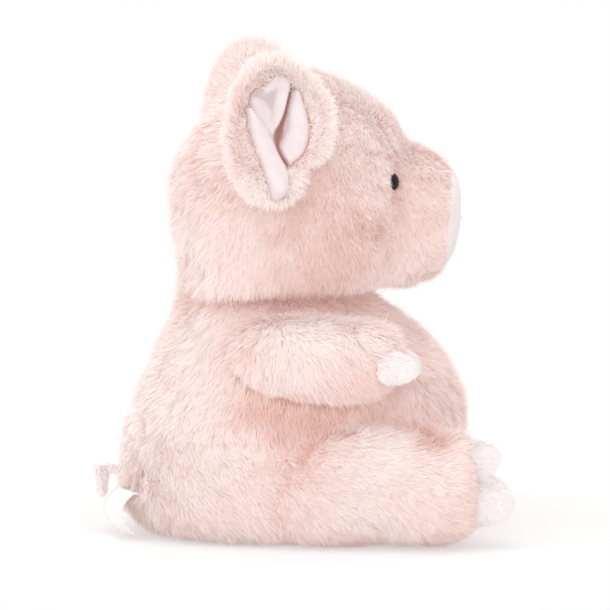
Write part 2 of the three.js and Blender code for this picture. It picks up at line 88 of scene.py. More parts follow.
def rgba(colour: Colour) -> tuple[float, float, float, float]:
    """An sRGB colour as the linear values that a socket takes.

    Args:
        colour: Red, green and blue as they show on a screen, 0 to 1.

    Returns:
        Linear red, green and blue with an alpha of 1.
    """
    linear = [c / 12.92 if c <= 0.04045 else ((c + 0.055) / 1.055) ** 2.4 for c in colour]
    return (linear[0], linear[1], linear[2], 1.0)


def maths(operation: str) -> Callable[..., Value]:
    """A method that joins a Value and others, or plain numbers, in one Math node."""

    def joined(self: Value, *others: Any) -> Value:
        values = [self.socket, *[o.socket if isinstance(o, Value) else o for o in others]]
        node = self.bench.node("ShaderNodeMath", {"operation": operation}, dict(enumerate(values)))
        return Value(self.bench, node.outputs[0])

    return joined


class Value:
    """A number socket that takes part in Python expressions, each of which adds a Math node."""

    def __init__(self, bench: Bench, socket: Any) -> None:
        """Wraps an output socket or a plain number."""
        self.bench = bench
        self.socket = socket

    __add__ = __radd__ = maths("ADD")
    __mul__ = __rmul__ = maths("MULTIPLY")
    __sub__ = maths("SUBTRACT")
    __truediv__ = maths("DIVIDE")
    larger = maths("MAXIMUM")
    smaller = maths("MINIMUM")
    root = maths("SQRT")

    def __rsub__(self, other: float) -> Value:
        """Difference from a number."""
        return Value(self.bench, other) - self

    def held(self) -> Value:
        """The value kept between 0 and 1."""
        return self.larger(0.0).smaller(1.0)

    def step(self, start: float, end: float) -> Value:
        """A soft step from 0 at start to 1 at end."""
        share = ((self - start) / (end - start)).held()
        return share * share * (3.0 - 2.0 * share)


class Bench:
    """One material's or world's node tree, and the one place where its nodes are made."""

    def __init__(self, name: str, world: bool = False) -> None:
        """Starts a material with a Principled shader and nothing else, or an empty world."""
        self.owner = (bpy.data.worlds if world else bpy.data.materials).new(name)
        self.owner.use_nodes = True
        self.tree = self.owner.node_tree
        self.tree.nodes.clear()
        if not world:
            self.shader = self.node("ShaderNodeBsdfPrincipled", {}, {})
            self.end = self.node("ShaderNodeOutputMaterial", {}, {"Surface": self.shader.outputs[0]})

    def node(self, kind: str, settings: dict[str, Any], sockets: dict[Any, Any]) -> bpy.types.Node:
        """Adds a node.

        Args:
            kind: The node's type.
            settings: Its properties, with "stops" for a ramp's (place, colour) pairs.
            sockets: Its inputs by name or number, each a value, a socket or a Value.

        Returns:
            The node.
        """
        made = self.tree.nodes.new(kind)
        for key, value in settings.items():
            if key == "stops":
                ramp = made.color_ramp.elements
                while len(ramp) < len(value):
                    ramp.new(0.5)
                for element, (place, colour) in zip(ramp, value, strict=True):
                    element.position = place
                    element.color = rgba(colour)
            else:
                setattr(made, key, value)
        for key, value in sockets.items():
            self.feed(made.inputs[key], value)
        return made

    def feed(self, socket: bpy.types.NodeSocket, value: Any) -> None:
        """Sets an input to a value or a Colour, or links it to a socket or a Value."""
        found = value.socket if isinstance(value, Value) else value
        if isinstance(found, bpy.types.NodeSocket):
            self.tree.links.new(found, socket)
        else:
            socket.default_value = rgba(found) if isinstance(found, tuple) and len(found) == 3 else found

    def place(self) -> Any:
        """The Object coordinates' socket."""
        return self.node("ShaderNodeTexCoord", {}, {}).outputs["Object"]

    def axes(self, vector: Any) -> tuple[Value, Value, Value]:
        """A vector's three numbers."""
        split = self.node("ShaderNodeSeparateXYZ", {}, {0: vector})
        return tuple(Value(self, out) for out in split.outputs)

    def noise(self, place: Any, size: float, detail: float = 2.0) -> Value:
        """Cloudy noise of a size in metres, from 0 to 1."""
        made = self.node("ShaderNodeTexNoise", {}, {"Vector": place, "Scale": 1 / size, "Detail": detail})
        return Value(self, made.outputs[0])

    def mix(self, share: Value | float, low: Any, high: Any) -> Any:
        """The socket of a colour between two, each a Colour or a socket."""
        low, high = (rgba(c) if isinstance(c, tuple) else c for c in (low, high))
        sockets = {"Factor": share, 6: low, 7: high}
        return self.node("ShaderNodeMix", {"data_type": "RGBA"}, sockets).outputs[2]

    def ramp(self, share: Value, *stops: tuple[float, Colour]) -> Any:
        """The socket of a colour that runs through stops, each a place from 0 to 1 and a colour."""
        return self.node("ShaderNodeValToRGB", {"stops": stops}, {0: share}).outputs[0]

    def told(self, name: str) -> Value:
        """A number that the mesh holds at each corner."""
        return Value(self, self.node("ShaderNodeAttribute", {"attribute_name": name}, {}).outputs["Fac"])

    def lens_share(self) -> Value:
        """A number that is 1 for what the camera sees, plainly, in gloss or through glass."""
        path = self.node("ShaderNodeLightPath", {}, {})
        rays = [Value(self, path.outputs[f"Is {ray} Ray"]) for ray in ("Camera", "Glossy", "Transmission")]
        return rays[0].larger(rays[1]).larger(rays[2])

    def bump(self, height: Value, depth: float) -> None:
        """Feeds the shader's normal from a height of 0 to 1 that stands for a depth in metres."""
        made = self.node("ShaderNodeBump", {}, {"Height": height, "Distance": depth, "Strength": 1.0})
        self.set(Normal=made.outputs[0])

    def set(self, **values: Any) -> None:
        """Feeds the shader's sockets, with _ for a space in a name."""
        for key, value in values.items():
            self.feed(self.shader.inputs[key.replace("_", " ")], value)


@dataclass(frozen=True)
class PileFinish:
    """Fur or plush strands, coloured by their own map: across it the tone, and up it from root to tip.

    Attributes:
        name: The material's name.
        roots: The colours at the root of pale, middling and deep strands.
        tips: The same at the tip.
        deep: The colour that light takes on inside the pile.
        reach: How far up a strand the root's colour fades out, 0 to 1.
        roughness: How matt the strands are.
        glow: The strength of an emission that stands in for the light scattered inside the pile.
    """

    name: str
    roots: tuple[Colour, Colour, Colour]
    tips: tuple[Colour, Colour, Colour]
    deep: Colour = (0.955, 0.775, 0.73)
    reach: float = 0.7
    roughness: float = 0.7
    glow: float = 0.11

    @cache
    def material(self) -> bpy.types.Material:
        """The strands' material."""
        bench = Bench(self.name)
        blade_map = bench.node("ShaderNodeUVMap", {"uv_map": BLADE_MAP}, {})
        tone, along, _ = bench.axes(blade_map.outputs[0])
        root, tip = (bench.ramp(tone, *zip((0.0, 0.5, 1.0), three, strict=True)) for three in (self.roots, self.tips))
        shade = bench.mix(along.step(0.0, self.reach), root, tip)
        bench.set(
            Base_Color=shade,
            Emission_Color=bench.mix(0.5, shade, self.deep),
            Emission_Strength=self.glow,
            Roughness=self.roughness,
            Specular_IOR_Level=0.2,
            Sheen_Weight=0.25,
            Sheen_Roughness=0.5,
        )
        return bench.owner


@dataclass(frozen=True)
class ClothFinish:
    """Knitted backing, velour, satin and plain cloth, as a weave or nap on a colour that clouds a little.

    Attributes:
        name: The material's name.
        colour: The colour of the nap's tips.
        shade: The colour between them.
        cloud: The size of the clouds.
        grain: The size of the weave or nap.
        depth: How deep it is.
        roughness: How matt it is.
        sheen: How much light its edges catch.
        fold: The colour of the painted shade deep in folds, if the mesh tells of them.
    """

    name: str
    colour: Colour
    shade: Colour
    cloud: float
    grain: float
    depth: float
    roughness: float = 0.85
    sheen: float = 0.3
    fold: Colour | None = None

    @cache
    def material(self) -> bpy.types.Material:
        """The cloth's material, with painted shade deep in its folds where the mesh tells of them."""
        bench = Bench(self.name)
        place = bench.place()
        share = bench.noise(place, self.cloud, 3.0).step(0.35, 0.65)
        nap = bench.noise(place, self.grain, 4.0)
        colour = bench.mix(share * 0.7 + nap * 0.3, self.shade, self.colour)
        # Painted shade: the fold colour where the mesh marks a fold.
        if self.fold is not None:
            colour = bench.mix(bench.told(FOLD_SHADE), colour, self.fold)
        bench.set(
            Base_Color=colour,
            Roughness=self.roughness,
            Specular_IOR_Level=0.2,
            Sheen_Weight=self.sheen,
            Sheen_Roughness=0.4,
        )
        bench.bump(nap, self.depth)
        return bench.owner


@dataclass(frozen=True)
class PlasticFinish:
    """Moulded plastic, polished or matt, with faint flow marks."""

    name: str
    colour: Colour
    roughness: float
    gloss: float = 0.5

    @cache
    def material(self) -> bpy.types.Material:
        """The plastic's material."""
        bench = Bench(self.name)
        marks = bench.noise(bench.place(), 2 * MM, 3.0)
        darker = tuple(c * 0.86 for c in self.colour)
        bench.set(
            Base_Color=bench.mix(marks, darker, self.colour),
            Roughness=self.roughness + marks * 0.06,
            Specular_IOR_Level=self.gloss,
        )
        bench.bump(marks, 0.02 * MM)
        return bench.owner


Finish = PileFinish | ClothFinish | PlasticFinish

FUR = PileFinish(
    "long_fur",
    ((0.97, 0.913, 0.899), (0.955, 0.858, 0.834), (0.82, 0.61, 0.53)),
    ((0.975, 0.959, 0.954), (0.969, 0.919, 0.907), (0.915, 0.785, 0.74)),
)
WHITE_PLUSH = PileFinish(
    "white_plush",
    ((0.968, 0.95, 0.95), (0.963, 0.935, 0.933), (0.945, 0.87, 0.855)),
    ((0.975, 0.962, 0.962), (0.97, 0.95, 0.95), (0.96, 0.915, 0.905)),
    (0.972, 0.945, 0.942),
    glow=0.115,
)
BACKING = ClothFinish("knitted_backing", (0.975, 0.87, 0.84), (0.95, 0.82, 0.78), 12 * MM, 0.7 * MM, 0.3 * MM)
WHITE_BACKING = ClothFinish("pale_backing", (0.99, 0.965, 0.96), (0.97, 0.93, 0.92), 8 * MM, 0.6 * MM, 0.2 * MM)
VELOUR = ClothFinish(
    "velour",
    (0.97, 0.935, 0.935),
    (0.95, 0.905, 0.905),
    cloud=7 * MM,
    grain=0.45 * MM,
    depth=0.25 * MM,
    roughness=0.8,
    sheen=0.5,
    fold=(0.7, 0.5, 0.48),
)
LINING = replace(
    VELOUR,
    name="lining_velour",
    colour=(0.95, 0.905, 0.912),
    shade=(0.925, 0.87, 0.875),
    cloud=6 * MM,
    fold=(0.66, 0.46, 0.43),
)
STUFFING = ClothFinish("fibre_stuffing", (0.98, 0.98, 0.97), (0.92, 0.92, 0.91), 6 * MM, 1.2 * MM, 1 * MM, 0.9, 0.4)
PELLET_CLOTH = ClothFinish("pellet_cloth", (0.93, 0.91, 0.86), (0.86, 0.83, 0.77), 10 * MM, 0.5 * MM, 0.2 * MM)
SATIN = ClothFinish("label_satin", (0.985, 0.98, 0.975), (0.95, 0.94, 0.935), 9 * MM, 0.35 * MM, 0.06 * MM, 0.42, 0.1)
EYE_BLACK = PlasticFinish("polished_black", (0.06, 0.048, 0.045), 0.14, 0.25)
WASHER_WHITE = PlasticFinish("moulded_white", (0.94, 0.94, 0.92), 0.45)


def add_object(name: str, data: bpy.types.ID) -> bpy.types.Object:
    """Adds an object to the scene."""
    made = bpy.data.objects.new(name, data)
    bpy.context.scene.collection.objects.link(made)
    return made


def mesh_object(name: str, work: bmesh.types.BMesh) -> bpy.types.Object:
    """Frees a bmesh into a new object at the origin."""
    mesh = bpy.data.meshes.new(name)
    work.to_mesh(mesh)
    work.free()
    return add_object(name, mesh)


def with_modifiers(piece: bpy.types.Object, *steps: tuple[str, dict[str, Any]]) -> bpy.types.Object:
    """Adds modifiers in order and applies them to the piece's mesh.

    Args:
        piece: The object, at the origin.
        steps: Each modifier's type and its settings.

    Returns:
        The same object.
    """
    for kind, settings in steps:
        modifier = piece.modifiers.new(kind.lower(), kind)
        for key, value in settings.items():
            setattr(modifier, key, value)
    graph = bpy.context.evaluated_depsgraph_get()
    graph.update()
    result = bpy.data.meshes.new_from_object(piece.evaluated_get(graph))
    before = piece.data
    piece.modifiers.clear()
    piece.data = result
    result.name = piece.name
    bpy.data.meshes.remove(before)
    return piece


def paint(piece: bpy.types.Object, finish: Finish) -> None:
    """Gives a piece one finish."""
    piece.data.materials.clear()
    piece.data.materials.append(finish.material())


def dress(piece: bpy.types.Object, body: str, finish: Finish) -> None:
    """Gives a piece its finish, its body and its material slot, and reports it."""
    paint(piece, finish)
    piece.data.polygons.foreach_set("use_smooth", [True] * len(piece.data.polygons))
    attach(piece, body)
    log.info("%s: %d faces on %s", piece.name, len(piece.data.polygons), body)


def stand_in(piece: bpy.types.Object, body: str, slot: str, finish: Finish, *nodes: str, fill: float) -> None:
    """Dresses a stuffed piece and hides the CAD nodes that it replaces."""
    dress(piece, body, finish)
    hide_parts(*nodes)


def move_corners(piece: bpy.types.Object, points: Array) -> None:
    """Puts a piece's corners in new places."""
    piece.data.vertices.foreach_set("co", points.ravel())
    piece.data.update()


@dataclass
class SoftForm:
    """A soft piece shaped from a copy of its CAD nodes: closed, rounded and drawn in or out.

    Attributes:
        nodes: The CAD nodes.
        voxel: The size of the new mesh's cells.
        inset: How far it is drawn in.
        rounding: How many times it is smoothed.
        hollow: Whether the nodes are skins, whose inner walls are left out.
        lumps: How far its surface wanders in and out.
        lump_size: The size over which it does.
        share: What share of the inset each place has.
        whole: The nodes that aren't skins, where the others are.
    """

    nodes: tuple[str, ...]
    voxel: float = 3 * MM
    inset: float = 0.0
    rounding: int = 6
    hollow: bool = False
    lumps: float = 0.0
    lump_size: float = 14 * MM
    share: Tone | None = None
    whole: tuple[str, ...] = ()

    def copy(self) -> bmesh.types.BMesh:
        """The nodes' faces with shared corners, without the inner walls of hollow skins."""
        whole = bmesh.new()
        for node in self.nodes:
            work = bmesh.new()
            work.from_mesh(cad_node(node).data)
            bmesh.ops.remove_doubles(work, verts=work.verts, dist=0.01 * MM)
            if self.hollow and node not in self.whole:
                self.without_inner_wall(work)
            mesh = bpy.data.meshes.new(node)
            work.to_mesh(mesh)
            work.free()
            whole.from_mesh(mesh)
            bpy.data.meshes.remove(mesh)
        return whole

    @staticmethod
    def without_inner_wall(work: bmesh.types.BMesh) -> None:
        """Takes the faces that look inwards out of a hollow skin and closes what is left."""
        centre = sum((f.calc_center_median() * f.calc_area() for f in work.faces), Vector())
        centre /= sum(f.calc_area() for f in work.faces)
        inner = [f for f in work.faces if (f.calc_center_median() - centre).dot(f.normal) < 0]
        bmesh.ops.delete(work, geom=inner, context="FACES")
        edges = [e for e in work.edges if e.is_boundary]
        bmesh.ops.holes_fill(work, edges=edges, sides=0)
        bmesh.ops.triangulate(work, faces=work.faces)
        bmesh.ops.recalc_face_normals(work, faces=work.faces)

    def build(self, name: str) -> bpy.types.Object:
        """The rounded form as a new object."""
        piece = mesh_object(name, self.copy())
        with_modifiers(
            piece,
            ("REMESH", {"mode": "VOXEL", "voxel_size": self.voxel}),
            ("SMOOTH", {"factor": 0.6, "iterations": self.rounding}),
        )
        points, normals = surface_points(piece.data)
        push = np.full(len(points), -self.inset)
        if self.share is not None:
            push *= self.share(points, normals)
        if self.lumps:
            push += self.lumps * Drift(11, self.lump_size).at(points)[:, 0]
        points += normals * push[:, None]
        points[:, 2] = np.maximum(points[:, 2], FORM_FLOOR)
        move_corners(piece, points)
        return piece


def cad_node(name: str) -> bpy.types.Object:
    """The CAD node's object."""
    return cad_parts[name]


def middle_of(node: str) -> Vector:
    """The middle of a CAD node's box."""
    low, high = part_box(node)
    return (low + high) / 2


def surface_points(mesh: bpy.types.Mesh) -> tuple[Array, Array]:
    """A mesh's corners and their normals, as arrays of rows."""
    points = np.empty(len(mesh.vertices) * 3)
    normals = np.empty(len(mesh.vertices) * 3)
    mesh.vertices.foreach_get("co", points)
    mesh.vertices.foreach_get("normal", normals)
    return points.reshape(-1, 3), normals.reshape(-1, 3)


@dataclass
class Drift:
    """Smooth wandering values over space, from a few seeded waves a size long."""

    seed: int
    size: float
    waves: int = 9

    def at(self, points: Array) -> Array:
        """Three values from about -1 to 1 for each point."""
        dice = np.random.default_rng(self.seed)
        total = np.zeros((len(points), 3))
        for _ in range(self.waves):
            way = dice.normal(size=3)
            way *= 2 * math.pi / self.size * dice.uniform(0.6, 1.5) / np.linalg.norm(way)
            total += np.sin((points @ way)[:, None] + dice.uniform(0, 2 * math.pi, 3))
        return total / math.sqrt(self.waves)


def unit(rows: Array) -> Array:
    """Rows at length 1."""
    return rows / (np.linalg.norm(rows, axis=1)[:, None] + 1e-12)


def flattened(rows: Array, normals: Array) -> Array:
    """Rows without their part along the normals."""
    return rows - normals * (rows * normals).sum(axis=1)[:, None]


def combed(way: Colour) -> Flow:
    """Fur combed one way all over."""
    return lambda points, normals: np.tile(way, (len(points), 1))


def spots(base: float, *places: tuple[float, float, float, float, float]) -> Tone:
    """A tone that differs softly round places, the same on both sides, for the fur's own tone, painted shade and
    painted light.

    Args:
        base: The tone away from them.
        places: Each place's x, distance from the mid-plane, z and radius, in millimetres, and by how much
            the tone is more there, or less below zero. Of colours, more is warmer and less is paler.

    Returns:
        The tone at points.
    """

    def tone(points: Array, normals: Array) -> Array:
        total = np.full(len(points), base)
        folded = np.abs(points / MM * (0, 1, 0)) + points / MM * (1, 0, 1)
        for x, y, z, radius, warmth in places:
            off = ((folded - (x, y, z)) ** 2).sum(axis=1)
            total += warmth * np.exp(-off / radius**2)
        return total

    return tone


def any_of(*tests: Bare) -> Bare:
    """Whether any of some tests holds at a place."""
    return lambda place: any(test(place) for test in tests)


def below(height: float) -> Bare:
    """Whether a place lies below a height."""
    return lambda place: place.z < height


def parted(half: float) -> dict[str, Bare]:
    """Whether a place lies outside the left, the right and the middle, which is as wide as half to each side."""
    return {
        "left": lambda place: place.y < half,
        "right": lambda place: place.y > -half,
        "middle": lambda place: abs(place.y) > half,
    }


@dataclass
class Coat:
    """Strands of pile on a form.

    Attributes:
        finish: Their material.
        slot: Its slot's name, which is not used.
        length: A strand's length.
        width: Its width at the root.
        spacing: The area of backing that each strand has, in square millimetres.
        lift: How far strands stand up, from 0, flat, to 1, upright.
        tuft: The size of the tufts that their tips draw together into.
        gather: How far they draw together, 0 to 1.
        unrest: How far each strand's way differs from its neighbours'.
        sag: How far the tips bend down.
        wander: How far the combing drifts from place to place.
        seed: Where the random draws start.
        flow: The way that the strands are combed, at points.
        tone: How deep their colour is at points, 0 to 1.
        trim: The share of the length that they have at points.
        stand: How much more they stand up at points.
        crease: Where painted shade deepens their colour against other forms.
    """

    finish: Finish
    slot: str
    length: float = 8.5 * MM
    width: float = 0.4 * MM
    spacing: float = 0.17
    lift: float = 0.26
    tuft: float = 5 * MM
    gather: float = 0.16
    unrest: float = 0.25
    sag: float = 0.05
    wander: float = 0.2
    seed: int = 1
    flow: Flow = combed((0.0, 0.0, -1.0))
    tone: Tone = spots(0.4)
    trim: Tone | None = None
    stand: Tone | None = None
    crease: Creases | None = None

    SHAPES = 1000  # added to the seed for all but the roots' places
    LENGTHS = (0.13, 0.55, 1.35)  # how far lengths spread, and the least and the most share
    GATHERS = (0.5, 1.3)  # the least and the most share of the gathering
    TONES = (0.09, 0.04, 0.05)  # how far tones differ by strand, by tuft and by cloud
    CLOUD = 18 * MM  # the size of a cloud
    DRIFT = 26 * MM  # the size over which the combing drifts
    ROOTED = 0.5 * MM  # how deep the roots are set
    TUFTS = 4096  # more tufts than lie along any axis

    def roots(self, mesh: bpy.types.Mesh, bare: Bare) -> tuple[Array, Array]:
        """Seeded places and normals over the mesh, leaving out triangles whose middle is bare."""
        dice = np.random.default_rng(self.seed)
        mesh.calc_loop_triangles()
        corners = np.empty(len(mesh.loop_triangles) * 3, dtype=np.int64)
        mesh.loop_triangles.foreach_get("vertices", corners)
        points, normals = surface_points(mesh)
        corners = corners.reshape(-1, 3)
        middles = points[corners].mean(axis=1)
        corners = corners[[not bare(Vector(m)) for m in middles]]
        a, b, c = (points[corners[:, i]] for i in range(3))
        areas = np.linalg.norm(np.cross(b - a, c - a), axis=1) / 2
        count = min(MOST_STRANDS, int(areas.sum() / (self.spacing * MM * MM)))
        chosen = dice.choice(len(corners), size=count, p=areas / areas.sum())
        s, t = dice.random(count), dice.random(count)
        over = s + t > 1
        s[over], t[over] = 1 - s[over], 1 - t[over]
        shares = np.stack([1 - s - t, s, t], axis=1)[:, :, None]
        places = (points[corners[chosen]] * shares).sum(axis=1)
        ways = unit((normals[corners[chosen]] * shares).sum(axis=1))
        return places, ways

    def grow(self, name: str, body: str, mesh: bpy.types.Mesh, bare: Bare) -> None:
        """Makes the strands over a mesh as one new piece.

        Args:
            name: The piece's name.
            body: The body that it rides.
            mesh: The backing that the strands stand on.
            bare: Whether a place on it has none.
        """
        dice = np.random.default_rng(self.seed + self.SHAPES)
        roots, normals = self.roots(mesh, bare)
        tuft_of, tufts = self.tufts(roots)
        bends, tips = self.lines(roots, normals, tuft_of, tufts, dice)
        tones = self.tones(roots, normals, tuft_of, tufts, dice)
        piece = strands(name, (roots - normals * self.ROOTED, bends, tips), normals, self.width, tones, dice)
        points, _ = surface_points(piece.data)
        points[:, 2] = np.maximum(points[:, 2], STRAND_FLOOR)
        move_corners(piece, points)
        dress(piece, body, self.finish)

    def laid(self, roots: Array, normals: Array) -> Array:
        """The way along the backing that each strand is combed."""
        flow = unit(flattened(self.flow(roots, normals), normals))
        return flattened(unit(flow + self.wander * Drift(self.seed // 10 + 5, self.DRIFT).at(roots)), normals)

    def lines(
        self, roots: Array, normals: Array, tuft_of: Array, tufts: int, dice: np.random.Generator
    ) -> tuple[Array, Array]:
        """Each strand's bend and tip."""
        count = len(roots)
        lay = self.laid(roots, normals)
        jitter = dice.normal(scale=self.unrest, size=(count, 3))
        tuft_jitter = dice.normal(scale=self.unrest * 0.6, size=(tufts, 3))[tuft_of]
        lift = np.full(count, self.lift)
        if self.stand is not None:
            lift += self.stand(roots, normals)
        lift = lift[:, None]
        jitter *= 1 + 3 * np.clip(lift - self.lift, 0, 1)
        first = unit(normals * (lift + 0.3) + lay * (1 - lift) + 0.6 * jitter + 0.5 * tuft_jitter)
        last = unit(normals * lift + lay * (1.15 - lift) + jitter + tuft_jitter)
        last[:, 2] -= self.sag
        spread, least, most = self.LENGTHS
        lengths = self.length * dice.normal(1.0, spread, count).clip(least, most)
        if self.trim is not None:
            lengths *= self.trim(roots, normals)
        bends = roots + first * lengths[:, None] * 0.5
        tips = bends + unit(last) * lengths[:, None] * 0.5
        sums = np.stack([np.bincount(tuft_of, tips[:, i], tufts) for i in range(3)], axis=1)
        means = sums / np.bincount(tuft_of, minlength=tufts).clip(1)[:, None]
        tips += (means[tuft_of] - tips) * (self.gather * dice.uniform(*self.GATHERS, count))[:, None]
        return bends, tips

    def tones(self, roots: Array, normals: Array, tuft_of: Array, tufts: int, dice: np.random.Generator) -> Array:
        """Each strand's tone, with the painted shade of creases added."""
        by_strand, by_tuft, by_cloud = self.TONES
        tones = self.tone(roots, normals) + dice.normal(scale=by_strand, size=len(roots))
        tones += dice.normal(scale=by_tuft, size=tufts)[tuft_of]
        tones += by_cloud * Drift(self.seed // 10 + 9, self.CLOUD).at(roots)[:, 0]
        # Painted shade in the creases against other forms.
        if self.crease is not None:
            tones += self.crease.shade(roots)
        return tones.clip(0.01, 0.99)

    def tufts(self, roots: Array) -> tuple[Array, int]:
        """The number of each root's tuft, and how many tufts there are."""
        warped = roots + self.tuft * 0.6 * Drift(self.seed + 3, self.tuft * 4).at(roots)
        cells = np.floor(warped / self.tuft).astype(np.int64)
        keys = (cells * (1, self.TUFTS, self.TUFTS**2)).sum(axis=1)
        names, tuft_of = np.unique(keys, return_inverse=True)
        return tuft_of.ravel(), len(names)


def blade() -> tuple[Array, list[list[int]]]:
    """One flat strand: its corners as (across, along) shares, and its faces, root first."""
    work = bmesh.new()
    bmesh.ops.create_grid(work, x_segments=1, y_segments=2, size=0.5)
    for corner in work.verts:
        corner.co.y += 0.5
    for end in (0, 1):
        pair = [v for v in work.verts if abs(v.co.y - end) < 0.1]
        bmesh.ops.pointmerge(work, verts=pair, merge_co=(0, end, 0))
    work.normal_update()
    bmesh.ops.reverse_faces(work, faces=[f for f in work.faces if f.normal.z < 0])
    work.verts.index_update()
    corners = np.array([tuple(v.co.xy) for v in work.verts])
    faces = [[v.index for v in f.verts] for f in work.faces]
    work.free()
    return corners, faces


def strands(
    name: str, lines: tuple[Array, Array, Array], normals: Array, width: float, tone: Array, dice: np.random.Generator
) -> bpy.types.Object:
    """A blade for each line, wide across its backing, with a map of tone across and root to tip up.

    Args:
        name: The piece's name.
        lines: Each strand's root, its bend and its tip.
        normals: The backing's normal at each root.
        width: The width at the root.
        tone: Each strand's tone, 0 to 1.
        dice: The seeded source of each blade's twist.

    Returns:
        The strands as one object.
    """
    corners, faces = blade()
    root, bend, tip = lines
    count, each = len(root), len(corners)
    across = unit(np.cross(tip - root, normals))
    across = unit(across + normals * dice.normal(scale=0.3, size=count)[:, None])
    along = corners[:, 1][None, :, None]
    line = root[:, None] * (1 - along) ** 2 + bend[:, None] * 2 * along * (1 - along) + tip[:, None] * along**2
    wide = width * dice.uniform(0.7, 1.25, count)[:, None, None]
    points = line + across[:, None] * corners[:, 0][None, :, None] * wide
    mesh = bpy.data.meshes.new(name)
    sizes = [len(f) for f in faces]
    loops = np.concatenate([np.array(f) for f in faces])
    all_loops = (loops[None, :] + each * np.arange(count)[:, None]).ravel()
    starts = np.cumsum([0, *sizes[:-1]])
    all_starts = (starts[None, :] + sum(sizes) * np.arange(count)[:, None]).ravel()
    mesh.vertices.add(count * each)
    mesh.vertices.foreach_set("co", points.ravel())
    mesh.loops.add(len(all_loops))
    mesh.loops.foreach_set("vertex_index", all_loops)
    mesh.polygons.add(len(all_starts))
    mesh.polygons.foreach_set("loop_start", all_starts)
    layer = mesh.uv_layers.new(name=BLADE_MAP)
    u = tone[:, None] + corners[loops, 0][None, :] * 0.008
    v = np.broadcast_to(corners[loops, 1][None, :], u.shape)
    layer.data.foreach_set("uv", np.stack([u, v * 0.98 + 0.01], axis=2).ravel())
    mesh.update()
    mesh.validate()
    mesh.polygons.foreach_set("use_smooth", [True] * len(mesh.polygons))
    return add_object(name, mesh)


class Creases:
    """Painted shade in the fur where one form meets another: its colour deepens near the other form."""

    def __init__(self, depths: dict[str, float], reach: float = 9 * MM, grid: float = 2.5 * MM) -> None:
        """Takes the CAD nodes of the forms that it meets, each with how deep the painted shade at its crease is."""
        self.trees = [(surface(node), depth) for node, depth in depths.items()]
        self.reach = reach
        self.grid = grid

    def shade(self, points: Array) -> Array:
        """The painted shade at each place, worked out once for each cell of a fine grid."""
        cells = np.round(points / self.grid).astype(np.int64)
        keys, cell_of = np.unique(cells, axis=0, return_inverse=True)
        depths = np.empty(len(keys))
        for i, key in enumerate(keys):
            place = Vector(key * self.grid)
            near = [depth * math.exp(-((tree.find_nearest(place)[3] / self.reach) ** 2)) for tree, depth in self.trees]
            depths[i] = max(near)
        return depths[cell_of.ravel()]


def surface(node: str) -> BVHTree:
    """A CAD node's faces, ready for the search of the nearest or the first hit."""
    work = SoftForm((node,)).copy()
    tree = BVHTree.FromBMesh(work)
    work.free()
    return tree


class Inside:
    """Whether a place lies in one of some closed forms, or nearer to one than a margin."""

    def __init__(self, *forms: str | BVHTree, margin: float = 0.0) -> None:
        """Takes the forms that bar the way, each a CAD node, such as a skin or what fills it, or a tree."""
        self.trees = [surface(form) if isinstance(form, str) else form for form in forms]
        self.margin = margin

    def __call__(self, place: Vector) -> bool:
        """Whether the place is in."""
        return any(self.odd(tree, place) or tree.find_nearest(place)[3] < self.margin for tree in self.trees)

    @staticmethod
    def odd(tree: BVHTree, place: Vector) -> bool:
        """Whether a line from the place leaves the form an odd number of times."""
        way = Vector((0.31, 0.17, 0.935)).normalized()
        inside, start = False, place
        for _ in range(12):
            hit = tree.ray_cast(start, way)[0]
            if hit is None:
                break
            inside, start = not inside, hit + way * 1e-6
        return inside


# Painted shade: deeper under the arm and between the arm and the thigh. Paler over the back and the hip.
TORSO_TONE_AND_SHADING = spots(
    0.36,
    (-36, 68, 74, 12, 0.42),
    (-20, 68, 67, 14, 0.46),
    (5, 66, 62, 18, 0.42),
    (40, 60, 60, 18, 0.2),
    (53, 60, 53, 9, 0.3),
    (-75, 30, 50, 45, -0.22),
    (-50, 60, 95, 25, -0.15),
    (-60, 42, 118, 20, -0.28),
    (75, 20, 85, 30, 0.06),
)
# Painted shade: deeper at the neck and behind the ear. Painted light: paler on the crown, the forehead and under the
# snout. Warmer on the cheeks and the snout's side, deeper round the eye.
HEAD_TONE_AND_SHADING = spots(
    0.45,
    (25, 60, 150, 34, 0.2),
    (45, 42, 182, 7, 0.35),
    (0, 60, 132, 22, 0.15),
    (-60, 10, 170, 45, -0.06),
    (10, 10, 228, 40, -0.2),
    (32, 28, 204, 28, -0.34),
    (45, 0, 128, 25, -0.3),
    (-45, 52, 178, 9, 0.3),
    (60, 32, 165, 20, 0.14),
    (-56, 36, 128, 18, -0.18),
)
HEAD_STAND = spots(0.0, (25, 60, 150, 34, 0.15), (-10, 60, 165, 25, 0.1))
EAR_TONE = spots(
    0.13, (-32, 70, 215, 12, 0.28), (-30, 70, 190, 10, 0.2), (8, 70, 215, 10, 0.15), (14, 62, 180, 18, 0.34)
)
# Painted light: paler along the top of the arm. Warmer through its middle and deeper low at its root.
ARM_TONE_AND_SHADING = spots(
    0.4, (-10, 75, 72, 18, 0.12), (28, 78, 84, 16, 0.26), (-5, 68, 112, 15, -0.34), (22, 68, 108, 13, -0.3)
)
ARM_SHAPE = spots(1.0, (33, 66, 101, 11, -2.4))
# Painted shade: deeper in the crease at the ankle. Warmer on the thigh and the foot.
LEG_TONE_AND_SHADING = spots(
    0.32, (0, 75, 42, 14, 0.2), (56, 68, 50, 10, 0.42), (25, 75, 35, 25, -0.08), (75, 78, 22, 20, 0.24)
)
LEG_SHAPE = spots(
    1.0,
    (22, 61, 50, 19, -3.4),
    (40, 64, 50, 10, -1.2),
    (57, 66, 50, 7, 4.5),
    (72, 66, 52, 8, -1.5),
    (86, 78, 6, 14, -1.6),
)


